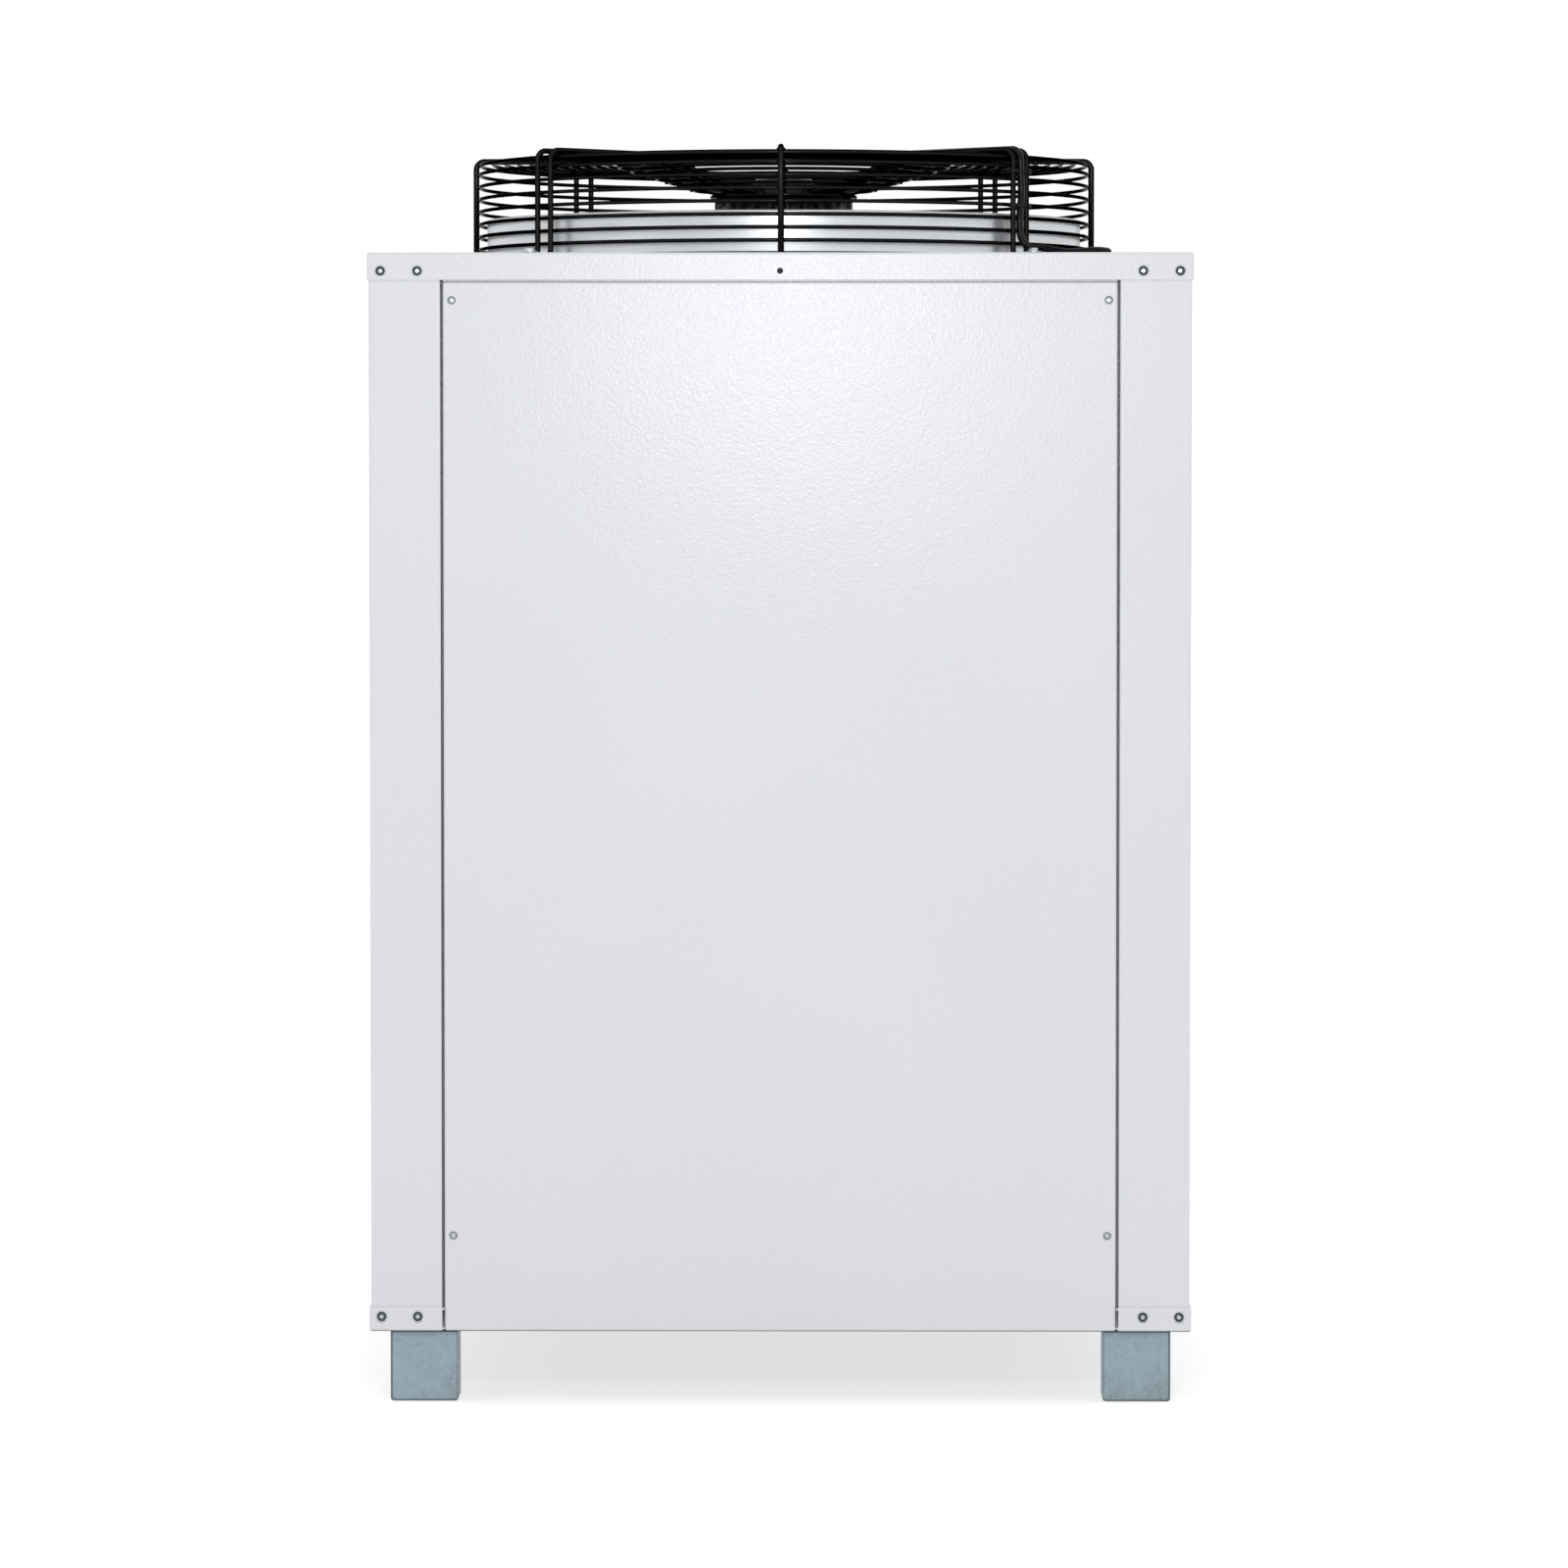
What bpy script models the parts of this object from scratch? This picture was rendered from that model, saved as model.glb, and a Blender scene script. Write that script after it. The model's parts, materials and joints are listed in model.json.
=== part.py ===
"""Air-cooled water chiller: a square sheet-steel cabinet on folded feet, with one axial fan on its roof.

Metres, +Z up, front face towards -Y, origin on the floor under the centre, fan axis on x = y = 0.
Heights of the fan, its collar and its wire guard are given above the roof.
"""

import math

import bmesh
import bpy
from mathutils import Matrix, Vector

# clearances
SEAT = 0.0003
NEST = 0.00025

# cabinet
WIDTH = 0.850
FOOT_H = 0.0752
BODY_H = 1.114
SHEET = 0.0015
BEND = 0.0005
CAP_H = 0.0283
LIP_H = 0.0253
POST_FACE = 0.0735
POST_FLANGE = 0.02475
PANEL_GAP = 0.00275
PANEL_TOP_GAP = 0.0017
PANEL_DEEP = 0.02045
DECK_RISE = 0.4183
DECK_RIM = 0.015
CAP_HOLE_R = 0.00275
CAP_HOLE_DOWN = 0.019

# coils
COIL_DEEP = 0.0447
COIL_END_GAP = 0.0157
COIL_MARGIN = 0.015
COIL_LEDGE = 0.018
FIN_DEEP = 0.0076
FIN_T = 0.003
FIN_PITCH = 0.080

# feet
FOOT_INSET = 0.0203
FOOT_W = 0.0703
FOOT_DEEP = 0.050
FOOT_SHEET = 0.0025

# water sockets and mains grommet on the back
SOCKET_IN = 0.127
SOCKET_RISE = 0.120
SOCKET_PITCH = 0.110
SOCKET_R = 0.0210
SOCKET_BORE = 0.0152
SOCKET_FLANGE = 0.0280
SOCKET_DEEP = 0.045
GROMMET_R = 0.0115
GROMMET_BORE = 0.0070
GROMMET_FLANGE = 0.0155
GROMMET_DEEP = 0.008

# fan collar
ROOF_MARGIN = 0.1025
COLLAR_SHEET = 0.002
COLLAR_RISE = 0.048
COLLAR_DROP = 0.046
COLLAR_FLANGE = 0.0275
LIP_R = 0.002
BELL_R = 0.024
ROUND = 40

# wire guard
GUARD_GAP = 0.009
RIB_R = 0.00325
RIB_TOP = 0.11325
RIB_BEND = 0.009
RING_R = 0.002
RING_BITE = 0.0012
RING_FIRST = 0.0026
RING_PITCH = 0.0136
RING_STEPS = 24
RING_SIDES = 4
DISH_RUN = 0.110
DISH_FLOOR = 0.0795
DISH_START = 0.075
WIRE_END = 0.050
STRUT_R = 0.003
STRUT_HALF = 0.0108
STRUT_TOE = 0.020
STRUT_BEND = 0.006
FRONT_STRUTS = math.radians(41.6)
BACK_STRUTS = math.radians(47.4)
CABLE_R = 0.004
GLAND_R = 0.0085
GLAND_H = 0.004

# motor and fan
PLATE_R = 0.080
PLATE_T = 0.003
COVER_R = 0.034
COVER_H = 0.018
MOTOR_R = 0.075
MOTOR_CORE_R = 0.067
MOTOR_FINS = 24
MOTOR_LOW = 0.040
SHAFT_R = 0.010
SHAFT_PLAY = 0.00005
SHAFT_LOW = -0.020
SHAFT_END = 0.002
HUB_R = 0.070
HUB_GAP = 0.006
HUB_LOW = -0.062
HUB_EDGE = 0.006
TIP_GAP = 0.0055
BLADES = 5
BLADE_MID = -0.012
BLADE_T = 0.004
BLADE_THIN = 0.0016
ROOT_CHORD = 0.115
TIP_CHORD = 0.175
ROOT_PITCH = math.radians(42)
TIP_PITCH = math.radians(19)
TIP_SWEEP = math.radians(-14)
CAMBER = 0.055

# places that follow from the sizes above
HALF = WIDTH / 2
BASE_Z = FOOT_H
ROOF_Z = FOOT_H + BODY_H
POST_OUT = HALF - SHEET - NEST
POST_IN = POST_OUT - POST_FACE
PANEL_HALF = POST_IN - PANEL_GAP
PANEL_TOP = ROOF_Z - CAP_H - PANEL_TOP_GAP
REBATE = POST_OUT - PANEL_DEEP - SEAT
INSIDE = REBATE - SHEET - SEAT
DECK_Z = BASE_Z + DECK_RISE
DECK_TOP = DECK_Z + SHEET
SOCKET_X = SOCKET_IN - PANEL_HALF
COLLAR_OUT = HALF - ROOF_MARGIN
COLLAR_IN = COLLAR_OUT - COLLAR_SHEET
RIB_LINE = COLLAR_OUT + GUARD_GAP + RIB_R
RING_DROP = RIB_R + RING_R - RING_BITE
DISH_OUTER = DISH_START + DISH_RUN
DISH_SLOPE = math.atan2(RIB_TOP - DISH_FLOOR, DISH_OUTER - DISH_START)
PLATE_TOP = DISH_FLOOR - RIB_R - SEAT
TIP_R = COLLAR_IN * math.cos(math.pi / ROUND) - TIP_GAP

CABINET = bpy.data.collections.new("air_cooled_water_chiller")
CUTTERS = bpy.data.collections.new("cutters")

PAINTS = {
    "cabinet_paint": ((0.72, 0.735, 0.755, 1.0), 0.0, 0.55),
    "galvanised_steel": ((0.42, 0.47, 0.50, 1.0), 0.8, 0.40),
    "collar_sheet": ((0.66, 0.69, 0.72, 1.0), 0.7, 0.35),
    "black_wire": ((0.02, 0.02, 0.022, 1.0), 0.0, 0.30),
    "fan_black": ((0.03, 0.03, 0.032, 1.0), 0.0, 0.45),
    "motor_black": ((0.04, 0.04, 0.043, 1.0), 0.2, 0.50),
    "coil_fins": ((0.70, 0.71, 0.72, 1.0), 0.8, 0.35),
    "brass": ((0.62, 0.47, 0.22, 1.0), 1.0, 0.35),
    "black_rubber": ((0.02, 0.02, 0.02, 1.0), 0.0, 0.60),
}


def clear_scene():
    for obj in list(bpy.data.objects):
        bpy.data.objects.remove(obj, do_unlink=True)
    for collection in (CABINET, CUTTERS):
        bpy.context.scene.collection.children.link(collection)
    CUTTERS.hide_render = True


def move_to(obj, collection):
    for old in list(obj.users_collection):
        old.objects.unlink(obj)
    collection.objects.link(obj)


def node(obj, name, paint):
    """Names a finished piece, gives it its own material and puts it with the object's other pieces."""
    obj.name = name
    obj.data.name = name
    obj.hide_render = False
    obj.display_type = "TEXTURED"
    move_to(obj, CABINET)
    colour, metallic, roughness = PAINTS[paint]
    material = bpy.data.materials.new(name)
    material.use_nodes = True
    shader = material.node_tree.nodes["Principled BSDF"]
    shader.inputs["Base Color"].default_value = colour
    shader.inputs["Metallic"].default_value = metallic
    shader.inputs["Roughness"].default_value = roughness
    material.diffuse_color = colour
    obj.data.materials.clear()
    obj.data.materials.append(material)
    return obj


def helper(obj):
    """Keeps a cutter, or a shape that is still being made, out of the finished object."""
    move_to(obj, CUTTERS)
    obj.hide_render = True
    obj.display_type = "WIRE"
    return obj


def from_bmesh(name, shape, smooth=False):
    mesh = bpy.data.meshes.new(name)
    shape.to_mesh(mesh)
    shape.free()
    if smooth:
        mesh.shade_smooth()
        mesh.set_sharp_from_angle(angle=math.radians(40))
    return helper(bpy.data.objects.new(name, mesh))


def cube(low, high):
    shape = bmesh.new()
    bmesh.ops.create_cube(shape, size=1.0)
    low, high = Vector(low), Vector(high)
    bmesh.ops.scale(shape, vec=high - low, verts=shape.verts)
    bmesh.ops.translate(shape, vec=(low + high) / 2, verts=shape.verts)
    shape.normal_update()
    return shape


def block(name, low, high):
    return from_bmesh(name, cube(low, high))


def folded_tray(name, low, high, open_to, sheet):
    """A box of folded sheet metal, open on one side."""
    shape = cube(low, high)
    gone = [face for face in shape.faces if face.normal.dot(Vector(open_to)) > 0.9]
    bmesh.ops.delete(shape, geom=gone, context="FACES")
    tray = from_bmesh(name, shape)
    bend = tray.modifiers.new("bend", "BEVEL")
    bend.width = sheet + BEND
    bend.segments = 2
    bend.limit_method = "ANGLE"
    wall = tray.modifiers.new("wall", "SOLIDIFY")
    wall.thickness = sheet
    wall.offset = -1.0
    wall.use_even_offset = True
    return tray


def disc(name, radius, low, high, sides, centre=(0.0, 0.0)):
    shape = bmesh.new()
    middle = Matrix.Translation((centre[0], centre[1], (low + high) / 2))
    bmesh.ops.create_cone(
        shape,
        cap_ends=True,
        segments=sides,
        radius1=radius,
        radius2=radius,
        depth=high - low,
        matrix=middle,
    )
    return from_bmesh(name, shape, smooth=True)


def outline_bar(name, outline, low, high):
    """A flat outline of (x, y) points with height, as an extruded 2D curve."""
    curve = bpy.data.curves.new(name, "CURVE")
    curve.dimensions = "2D"
    curve.fill_mode = "BOTH"
    curve.extrude = (high - low) / 2
    spline = curve.splines.new("POLY")
    spline.points.add(len(outline) - 1)
    for point, (x, y) in zip(spline.points, outline):
        point.co = (x, y, 0.0, 1.0)
    spline.use_cyclic_u = True
    bar = helper(bpy.data.objects.new(name, curve))
    bar.location.z = (low + high) / 2
    return bar


def bent_wire(name, places, radius, resolution=1):
    """A round bar through a list of places."""
    curve = bpy.data.curves.new(name, "CURVE")
    curve.dimensions = "3D"
    curve.bevel_depth = radius
    curve.bevel_resolution = resolution
    curve.use_fill_caps = True
    spline = curve.splines.new("POLY")
    spline.points.add(len(places) - 1)
    for point, place in zip(spline.points, places):
        point.co = (*place, 1.0)
    return helper(bpy.data.objects.new(name, curve))


def as_mesh(source):
    """The curve's solid as a mesh with its caps welded on, for joining or cutting."""
    bpy.context.view_layer.update()
    graph = bpy.context.evaluated_depsgraph_get()
    mesh = bpy.data.meshes.new_from_object(source.evaluated_get(graph))
    shape = bmesh.new()
    shape.from_mesh(mesh)
    bmesh.ops.remove_doubles(shape, verts=shape.verts, dist=0.00001)
    bmesh.ops.recalc_face_normals(shape, faces=shape.faces)
    shape.to_mesh(mesh)
    shape.free()
    solid = helper(bpy.data.objects.new(source.name, mesh))
    solid.matrix_world = source.matrix_world
    bpy.data.objects.remove(source, do_unlink=True)
    return solid


def turned(name, profile, steps):
    """A profile of (radius, height) points, down the outer side, turned about Z."""
    mesh = bpy.data.meshes.new(name)
    count = len(profile)
    hollow = profile[0][0] > 0.0
    edges = [(i, (i + 1) % count) for i in range(count if hollow else count - 1)]
    mesh.from_pydata([(radius, 0.0, height) for radius, height in profile], edges, [])
    piece = helper(bpy.data.objects.new(name, mesh))
    turn = piece.modifiers.new("turn", "SCREW")
    turn.steps = steps
    turn.render_steps = steps
    turn.use_merge_vertices = True
    turn.merge_threshold = 0.00001
    return piece


def arc(centre, radius, first, last, steps):
    """Points on a circle between two angles in degrees."""
    points = []
    for k in range(steps + 1):
        angle = math.radians(first + (last - first) * k / steps)
        points.append((centre[0] + radius * math.cos(angle), centre[1] + radius * math.sin(angle)))
    return points


def boolean(obj, other, operation="DIFFERENCE"):
    modifier = obj.modifiers.new(operation.lower(), "BOOLEAN")
    modifier.operation = operation
    modifier.solver = "EXACT"
    modifier.object = other
    return modifier


def round_edges(obj, width):
    modifier = obj.modifiers.new("edges", "BEVEL")
    modifier.width = width
    modifier.segments = 2
    modifier.limit_method = "ANGLE"
    return modifier


def quarter_turns(obj, count):
    obj.rotation_euler.z = math.pi / 2 * count
    return obj


def roof_tray():
    low = ROOF_Z - CAP_H
    roof = folded_tray("roof_tray", (-HALF, -HALF, low), (HALF, HALF, ROOF_Z), (0, 0, -1), SHEET)
    reach = 10 * SHEET
    boolean(roof, disc("fan_hole", COLLAR_OUT + SEAT, ROOF_Z - reach, ROOF_Z + reach, ROUND))
    hole = disc("skirt_hole", CAP_HOLE_R, -reach, reach, 12)
    hole.rotation_euler.x = math.pi / 2
    hole.location = (0.0, -HALF, ROOF_Z - CAP_HOLE_DOWN)
    boolean(roof, hole)
    node(roof, "roof_tray", "cabinet_paint")


def posts():
    """Corner posts: two faces, their returns beside the panels, and flanges behind the panels."""
    inner = REBATE - SHEET
    flange_end = POST_IN - POST_FLANGE
    returned = POST_IN + SHEET
    skin = POST_OUT - SHEET
    corner = skin - BEND
    outline = [(flange_end, REBATE), (POST_IN, REBATE), (POST_IN, POST_OUT)]
    outline += arc((corner, corner), SHEET + BEND, 90, 0, 2)
    outline += [(POST_OUT, POST_IN), (REBATE, POST_IN), (REBATE, flange_end), (inner, flange_end)]
    outline += [(inner, returned), (skin, returned), (skin, skin), (returned, skin)]
    outline += [(returned, inner), (flange_end, inner)]
    low = BASE_Z + SHEET + SEAT
    high = ROOF_Z - SHEET - SEAT
    for turns, name in enumerate(("post_br", "post_bl", "post_fl", "post_fr")):
        post = quarter_turns(outline_bar(name, outline, low, high), turns)
        node(post, name, "cabinet_paint")


def base_tray():
    """The base sheet, notched for the panels, with a lip round the foot of each post."""
    high = BASE_Z + LIP_H
    base = folded_tray("base_tray", (-HALF, -HALF, BASE_Z), (HALF, HALF, high), (0, 0, 1), SHEET)
    for turns in range(4):
        low = (-POST_IN, REBATE, BASE_Z - LIP_H)
        notch = block(f"panel_notch_{turns}", low, (POST_IN, HALF + LIP_H, high + LIP_H))
        boolean(base, quarter_turns(notch, turns))
    node(base, "base_tray", "cabinet_paint")


def panel(name, top, turns):
    """A removable sheet panel with its four edges folded in, made for the back and turned to its side."""
    low = (-PANEL_HALF, POST_OUT - PANEL_DEEP, BASE_Z)
    tray = folded_tray(name, low, (PANEL_HALF, POST_OUT, top), (0, -1, 0), SHEET)
    return node(quarter_turns(tray, turns), name, "cabinet_paint")


def panels():
    panel("front_panel", PANEL_TOP, 2)
    panel("side_panel_left", DECK_Z - SEAT, 1)
    panel("side_panel_right", DECK_Z - SEAT, 3)
    back = panel("back_panel", PANEL_TOP, 0)
    fittings = (
        ("water_inlet", SOCKET_R, SOCKET_BORE, SOCKET_FLANGE, SOCKET_DEEP, "brass"),
        ("water_outlet", SOCKET_R, SOCKET_BORE, SOCKET_FLANGE, SOCKET_DEEP, "brass"),
        ("mains_grommet", GROMMET_R, GROMMET_BORE, GROMMET_FLANGE, GROMMET_DEEP, "black_rubber"),
    )
    for k, (name, radius, bore, flange, deep, paint) in enumerate(fittings):
        place = (SOCKET_X, 0.0, BASE_Z + SOCKET_RISE + k * SOCKET_PITCH)
        hole = disc(name + "_hole", radius + SEAT, INSIDE, HALF, 16)
        hole.rotation_euler.x = -math.pi / 2
        hole.location = place
        boolean(back, hole)
        fitting = back_fitting(name, radius, bore, flange, deep)
        fitting.rotation_euler.x = -math.pi / 2
        fitting.location = place
        node(fitting, name, paint)


def back_fitting(name, radius, bore, flange, deep):
    """A flanged sleeve through the back panel, its flange as thick as the base's lips stand proud."""
    under = POST_OUT + SEAT
    face = HALF
    edge = NEST
    profile = [(bore, face - edge), (bore + edge, face), (flange - edge, face), (flange, face - edge)]
    profile += [(flange, under), (radius, under), (radius, under - deep), (bore, under - deep)]
    return turned(name, profile, 16)


def deck():
    """The floor of the coil section, turned down at its edges between the post flanges."""
    low = (-INSIDE, -INSIDE, DECK_TOP - DECK_RIM)
    node(folded_tray("deck", low, (INSIDE, INSIDE, DECK_TOP), (0, 0, -1), SHEET), "deck", "galvanised_steel")


def fin_block(name, half, near, far, low, high):
    """The coil's core with its main upright fins standing out on both faces."""
    spaces = round((2 * half - FIN_T) / FIN_PITCH)
    step = (2 * half - FIN_T) / spaces
    faces = []
    for tip, core in ((near, near + FIN_DEEP), (far, far - FIN_DEEP)):
        face = []
        for k in range(spaces + 1):
            left = k * step - half
            face += [(left, core), (left, tip), (left + FIN_T, tip), (left + FIN_T, core)]
        faces.append(face[1:-1])
    return outline_bar(name, faces[0] + faces[1][::-1], low, high)


def coils():
    """Upright coils behind both side openings: a sheet frame round a block of fins."""
    low = DECK_TOP + SEAT
    high = ROOF_Z - SHEET - SEAT
    half = INSIDE - COIL_END_GAP
    near = INSIDE - COIL_DEEP
    window = PANEL_HALF - COIL_MARGIN
    ledge = low + COIL_LEDGE
    top = ROOF_Z - CAP_H - COIL_LEDGE
    inset = SHEET + SEAT
    for turns, side in ((1, "left"), (3, "right")):
        name = "coil_frame_" + side
        frame = folded_tray(name, (-half, near, low), (half, INSIDE, high), (0, -1, 0), SHEET)
        opening = block(name + "_window", (-window, near, ledge), (window, HALF, top))
        boolean(frame, quarter_turns(opening, turns))
        node(quarter_turns(frame, turns), name, "galvanised_steel")
        span = (half - inset, near + SEAT, INSIDE - inset, low + inset, high - inset)
        fins = fin_block("coil_" + side, *span)
        node(quarter_turns(fins, turns), "coil_" + side, "coil_fins")


def feet():
    """Folded sheet feet, closed to the front and sides and open to the inside."""
    outer = HALF - FOOT_INSET
    inner = outer - FOOT_W
    for name, x_side, y_side in (("foot_fl", -1, -1), ("foot_fr", 1, -1), ("foot_bl", -1, 1), ("foot_br", 1, 1)):
        xs = sorted((x_side * inner, x_side * outer))
        ys = sorted((y_side * (outer - FOOT_DEEP), y_side * outer))
        high = (xs[1], ys[1], FOOT_H - SEAT)
        foot = folded_tray(name, (xs[0], ys[0], 0.0), high, (0, -y_side, 0), FOOT_SHEET)
        node(foot, name, "galvanised_steel")


def fan_collar():
    """A ring of sheet through the roof: rolled lip, flange under the roof and bell mouth below."""
    under = -SHEET - SEAT
    lip = (COLLAR_IN + LIP_R, COLLAR_RISE - LIP_R)
    bell = (COLLAR_OUT + BELL_R, -COLLAR_DROP)
    rim = COLLAR_OUT + COLLAR_FLANGE
    profile = arc(lip, LIP_R, 180, -60, 5)
    profile += [(COLLAR_OUT, lip[1] - LIP_R), (COLLAR_OUT, under), (rim, under)]
    profile += [(rim, under - COLLAR_SHEET), (COLLAR_OUT, under - COLLAR_SHEET)]
    profile += arc(bell, BELL_R, 180, 270, 3)
    profile += arc(bell, BELL_R + COLLAR_SHEET, 270, 180, 3)
    collar = turned("fan_collar", [(radius, ROOF_Z + height) for radius, height in profile], ROUND)
    node(collar, "fan_collar", "collar_sheet")


def rib_line(out):
    """Half a guard section as (radius, height), moved out of the basket by out: dish, flat top, bend."""
    shift = out * math.tan(DISH_SLOPE / 2)
    line = [(DISH_START - shift, DISH_FLOOR + out), (DISH_OUTER - shift, RIB_TOP + out)]
    return line + arc((RIB_LINE - RIB_BEND, RIB_TOP - RIB_BEND), RIB_BEND + out, 90, 0, 4)


def spoke(line, turn, aside=0.0):
    """(radius, height) points placed on a plane through the fan axis, or beside it."""
    along = Vector((math.cos(turn), math.sin(turn)))
    across = Vector((-along.y, along.x)) * aside
    return [(*(along * radius + across), ROOF_Z + height) for radius, height in line]


def ring_places():
    """(radius, height) of each ring wire: up the side, in the corner, then over the top into the dish."""
    side = RIB_LINE - RING_DROP
    corner = (RIB_BEND - RING_DROP) * math.sqrt(0.5) - RIB_BEND
    rings = []
    height = RING_FIRST
    while height < RIB_TOP - RIB_BEND:
        rings.append((side, height))
        height += RING_PITCH
    rings.append((RIB_LINE + corner, RIB_TOP + corner))
    radius = RIB_LINE + corner - RING_PITCH
    while radius > DISH_OUTER:
        rings.append((radius, RIB_TOP - RING_DROP))
        radius -= RING_PITCH
    while radius > DISH_START + RING_PITCH:
        under_strut = math.sqrt((radius * math.cos(math.pi / RING_STEPS)) ** 2 - STRUT_HALF**2)
        drop = (DISH_OUTER - under_strut) * math.tan(DISH_SLOPE)
        rings.append((radius, RIB_TOP - drop - RING_DROP / math.cos(DISH_SLOPE)))
        radius -= RING_PITCH
    return rings


def guard_rings():
    """The basket: concentric ring wires fused to four ribs, with few sides to a wire."""
    line = [(WIRE_END, DISH_FLOOR)] + rib_line(0.0) + [(RIB_LINE, SEAT)]
    ribs = []
    for k in range(4):
        rib = bent_wire(f"rib_{k}", spoke(line, math.pi / 2 * k), RIB_R)
        ribs.append(as_mesh(rib))
    pieces = bpy.data.collections.new("guard_pieces")
    CUTTERS.children.link(pieces)
    for rib in ribs[1:]:
        move_to(rib, pieces)
    for radius, height in ring_places():
        bpy.ops.mesh.primitive_torus_add(
            major_segments=RING_STEPS,
            minor_segments=RING_SIDES,
            major_radius=radius,
            minor_radius=RING_R,
            location=(0.0, 0.0, ROOF_Z + height),
        )
        move_to(helper(bpy.context.object), pieces)
    join = boolean(ribs[0], None, "UNION")
    join.operand_type = "COLLECTION"
    join.collection = pieces
    node(ribs[0], "guard_rings", "black_wire")


def strut_offset(radius):
    """How far a wire of this radius stands out of the rib line when it lies on the rings."""
    return RING_R + SEAT + radius - RING_DROP


def guard_struts():
    """Double wires near the diagonals, each bent from one bar with a loop for its foot bolt."""
    out = strut_offset(STRUT_R)
    seat = PLATE_TOP + SEAT + STRUT_R
    side = RIB_LINE + out
    toe = SEAT + STRUT_R
    half = [(WIRE_END - STRUT_BEND, seat), (WIRE_END + STRUT_BEND, seat)] + rib_line(out)
    half += arc((side + STRUT_BEND, toe + STRUT_BEND), STRUT_BEND, 180, 270, 3)
    struts = (
        ("guard_strut_br", BACK_STRUTS),
        ("guard_strut_bl", math.pi - BACK_STRUTS),
        ("guard_strut_fl", math.pi + FRONT_STRUTS),
        ("guard_strut_fr", -FRONT_STRUTS),
    )
    for name, angle in struts:
        path = spoke(half, angle, STRUT_HALF)
        for reach, aside in arc((side + STRUT_TOE, 0.0), STRUT_HALF, 90, -90, 6):
            path += spoke([(reach, toe)], angle, aside)
        path += spoke(half[::-1], angle, -STRUT_HALF)
        node(bent_wire(name, path, STRUT_R), name, "black_wire")


def fan_cable():
    """Motor cable: out along the front right strut, down it and over the roof into its gland."""
    out = strut_offset(CABLE_R)
    seat = PLATE_TOP + SEAT + CABLE_R
    foot = RIB_LINE + out
    line = [(COVER_R + SEAT, seat), (WIRE_END + STRUT_BEND, seat)] + rib_line(out)
    path = spoke(line + [(foot, 0.045), (foot, 0.026)], -FRONT_STRUTS)
    x, y, _ = path[-1]
    lie = CABLE_R + SEAT
    over = 2 * STRUT_R + SEAT + lie
    steps = [
        (0.004, -0.001, over + 0.006),
        (0.011, -0.001, over + 0.002),
        (0.022, -0.004, over + 0.001),
        (0.036, -0.014, 0.0085),
        (0.050, -0.028, lie),
        (0.064, -0.045, lie),
        (0.077, -0.061, 0.0075),
        (0.084, -0.069, 0.0098),
        (0.0905, -0.0765, 0.0095),
        (0.0905, -0.0765, GLAND_H + SEAT),
    ]
    path += [(x + right, y + back, ROOF_Z + height) for right, back, height in steps]
    node(bent_wire("fan_cable", path, CABLE_R, resolution=2), "fan_cable", "black_rubber")
    gland = disc("cable_gland", GLAND_R, ROOF_Z + SEAT, ROOF_Z + GLAND_H, 12, path[-1][:2])
    round_edges(gland, GLAND_R / 6)
    node(gland, "cable_gland", "black_rubber")


def motor():
    """The plate that the guard's wires carry, the finned motor under it and the cable cover on top."""
    top = ROOF_Z + PLATE_TOP
    plate = disc("motor_plate", PLATE_R, top - PLATE_T, top, 32)
    node(plate, "motor_plate", "black_wire")
    cover = disc("motor_cover", COVER_R, top + SEAT, top + COVER_H, 20)
    round_edges(cover, COVER_H / 6)
    node(cover, "motor_cover", "motor_black")
    pitch = math.tau / MOTOR_FINS
    outline = []
    for k in range(MOTOR_FINS):
        for radius, share in ((MOTOR_CORE_R, 0.0), (MOTOR_R, 0.12), (MOTOR_R, 0.38), (MOTOR_CORE_R, 0.5)):
            angle = pitch * (k + share)
            outline.append((radius * math.cos(angle), radius * math.sin(angle)))
    high = top - PLATE_T - SEAT
    low = ROOF_Z + MOTOR_LOW
    stator = as_mesh(outline_bar("motor_stator", outline, low, high))
    boolean(stator, disc("shaft", SHAFT_R, ROOF_Z + SHAFT_LOW, (low + high) / 2, 48), "UNION")
    node(stator, "motor_stator", "motor_black")


def blade_mesh():
    """A fan blade, lofted through cambered sections that lie on cylinders about the fan axis."""
    stations, chordwise = 8, 6
    root = HUB_R - HUB_EDGE
    shape = bmesh.new()
    rows = []
    for k in range(stations):
        share = k / (stations - 1)
        radius = root + (TIP_R - root) * share
        chord = ROOT_CHORD + (TIP_CHORD - ROOT_CHORD) * share
        pitch = ROOT_PITCH + (TIP_PITCH - ROOT_PITCH) * share
        half_t = (BLADE_T - BLADE_THIN * share) / 2
        row = []
        for side in (1, -1):
            for j in range(chordwise):
                s = (j / (chordwise - 1) - 0.5) * side
                along = s * chord
                across = CAMBER * chord * (1 - 4 * s * s) + side * half_t * (1 - 3.2 * s * s)
                turn = TIP_SWEEP * share * share
                turn += (along * math.cos(pitch) - across * math.sin(pitch)) / radius
                height = BLADE_MID + along * math.sin(pitch) + across * math.cos(pitch)
                row.append(shape.verts.new((radius * math.cos(turn), radius * math.sin(turn), height)))
        rows.append(row)
    for lower, upper in zip(rows, rows[1:]):
        for j in range(2 * chordwise):
            after = (j + 1) % (2 * chordwise)
            shape.faces.new((lower[j], lower[after], upper[after], upper[j]))
    shape.faces.new(rows[0])
    shape.faces.new(rows[-1])
    bmesh.ops.recalc_face_normals(shape, faces=shape.faces)
    mesh = bpy.data.meshes.new("blade")
    shape.to_mesh(mesh)
    shape.free()
    mesh.shade_smooth()
    return mesh


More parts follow.
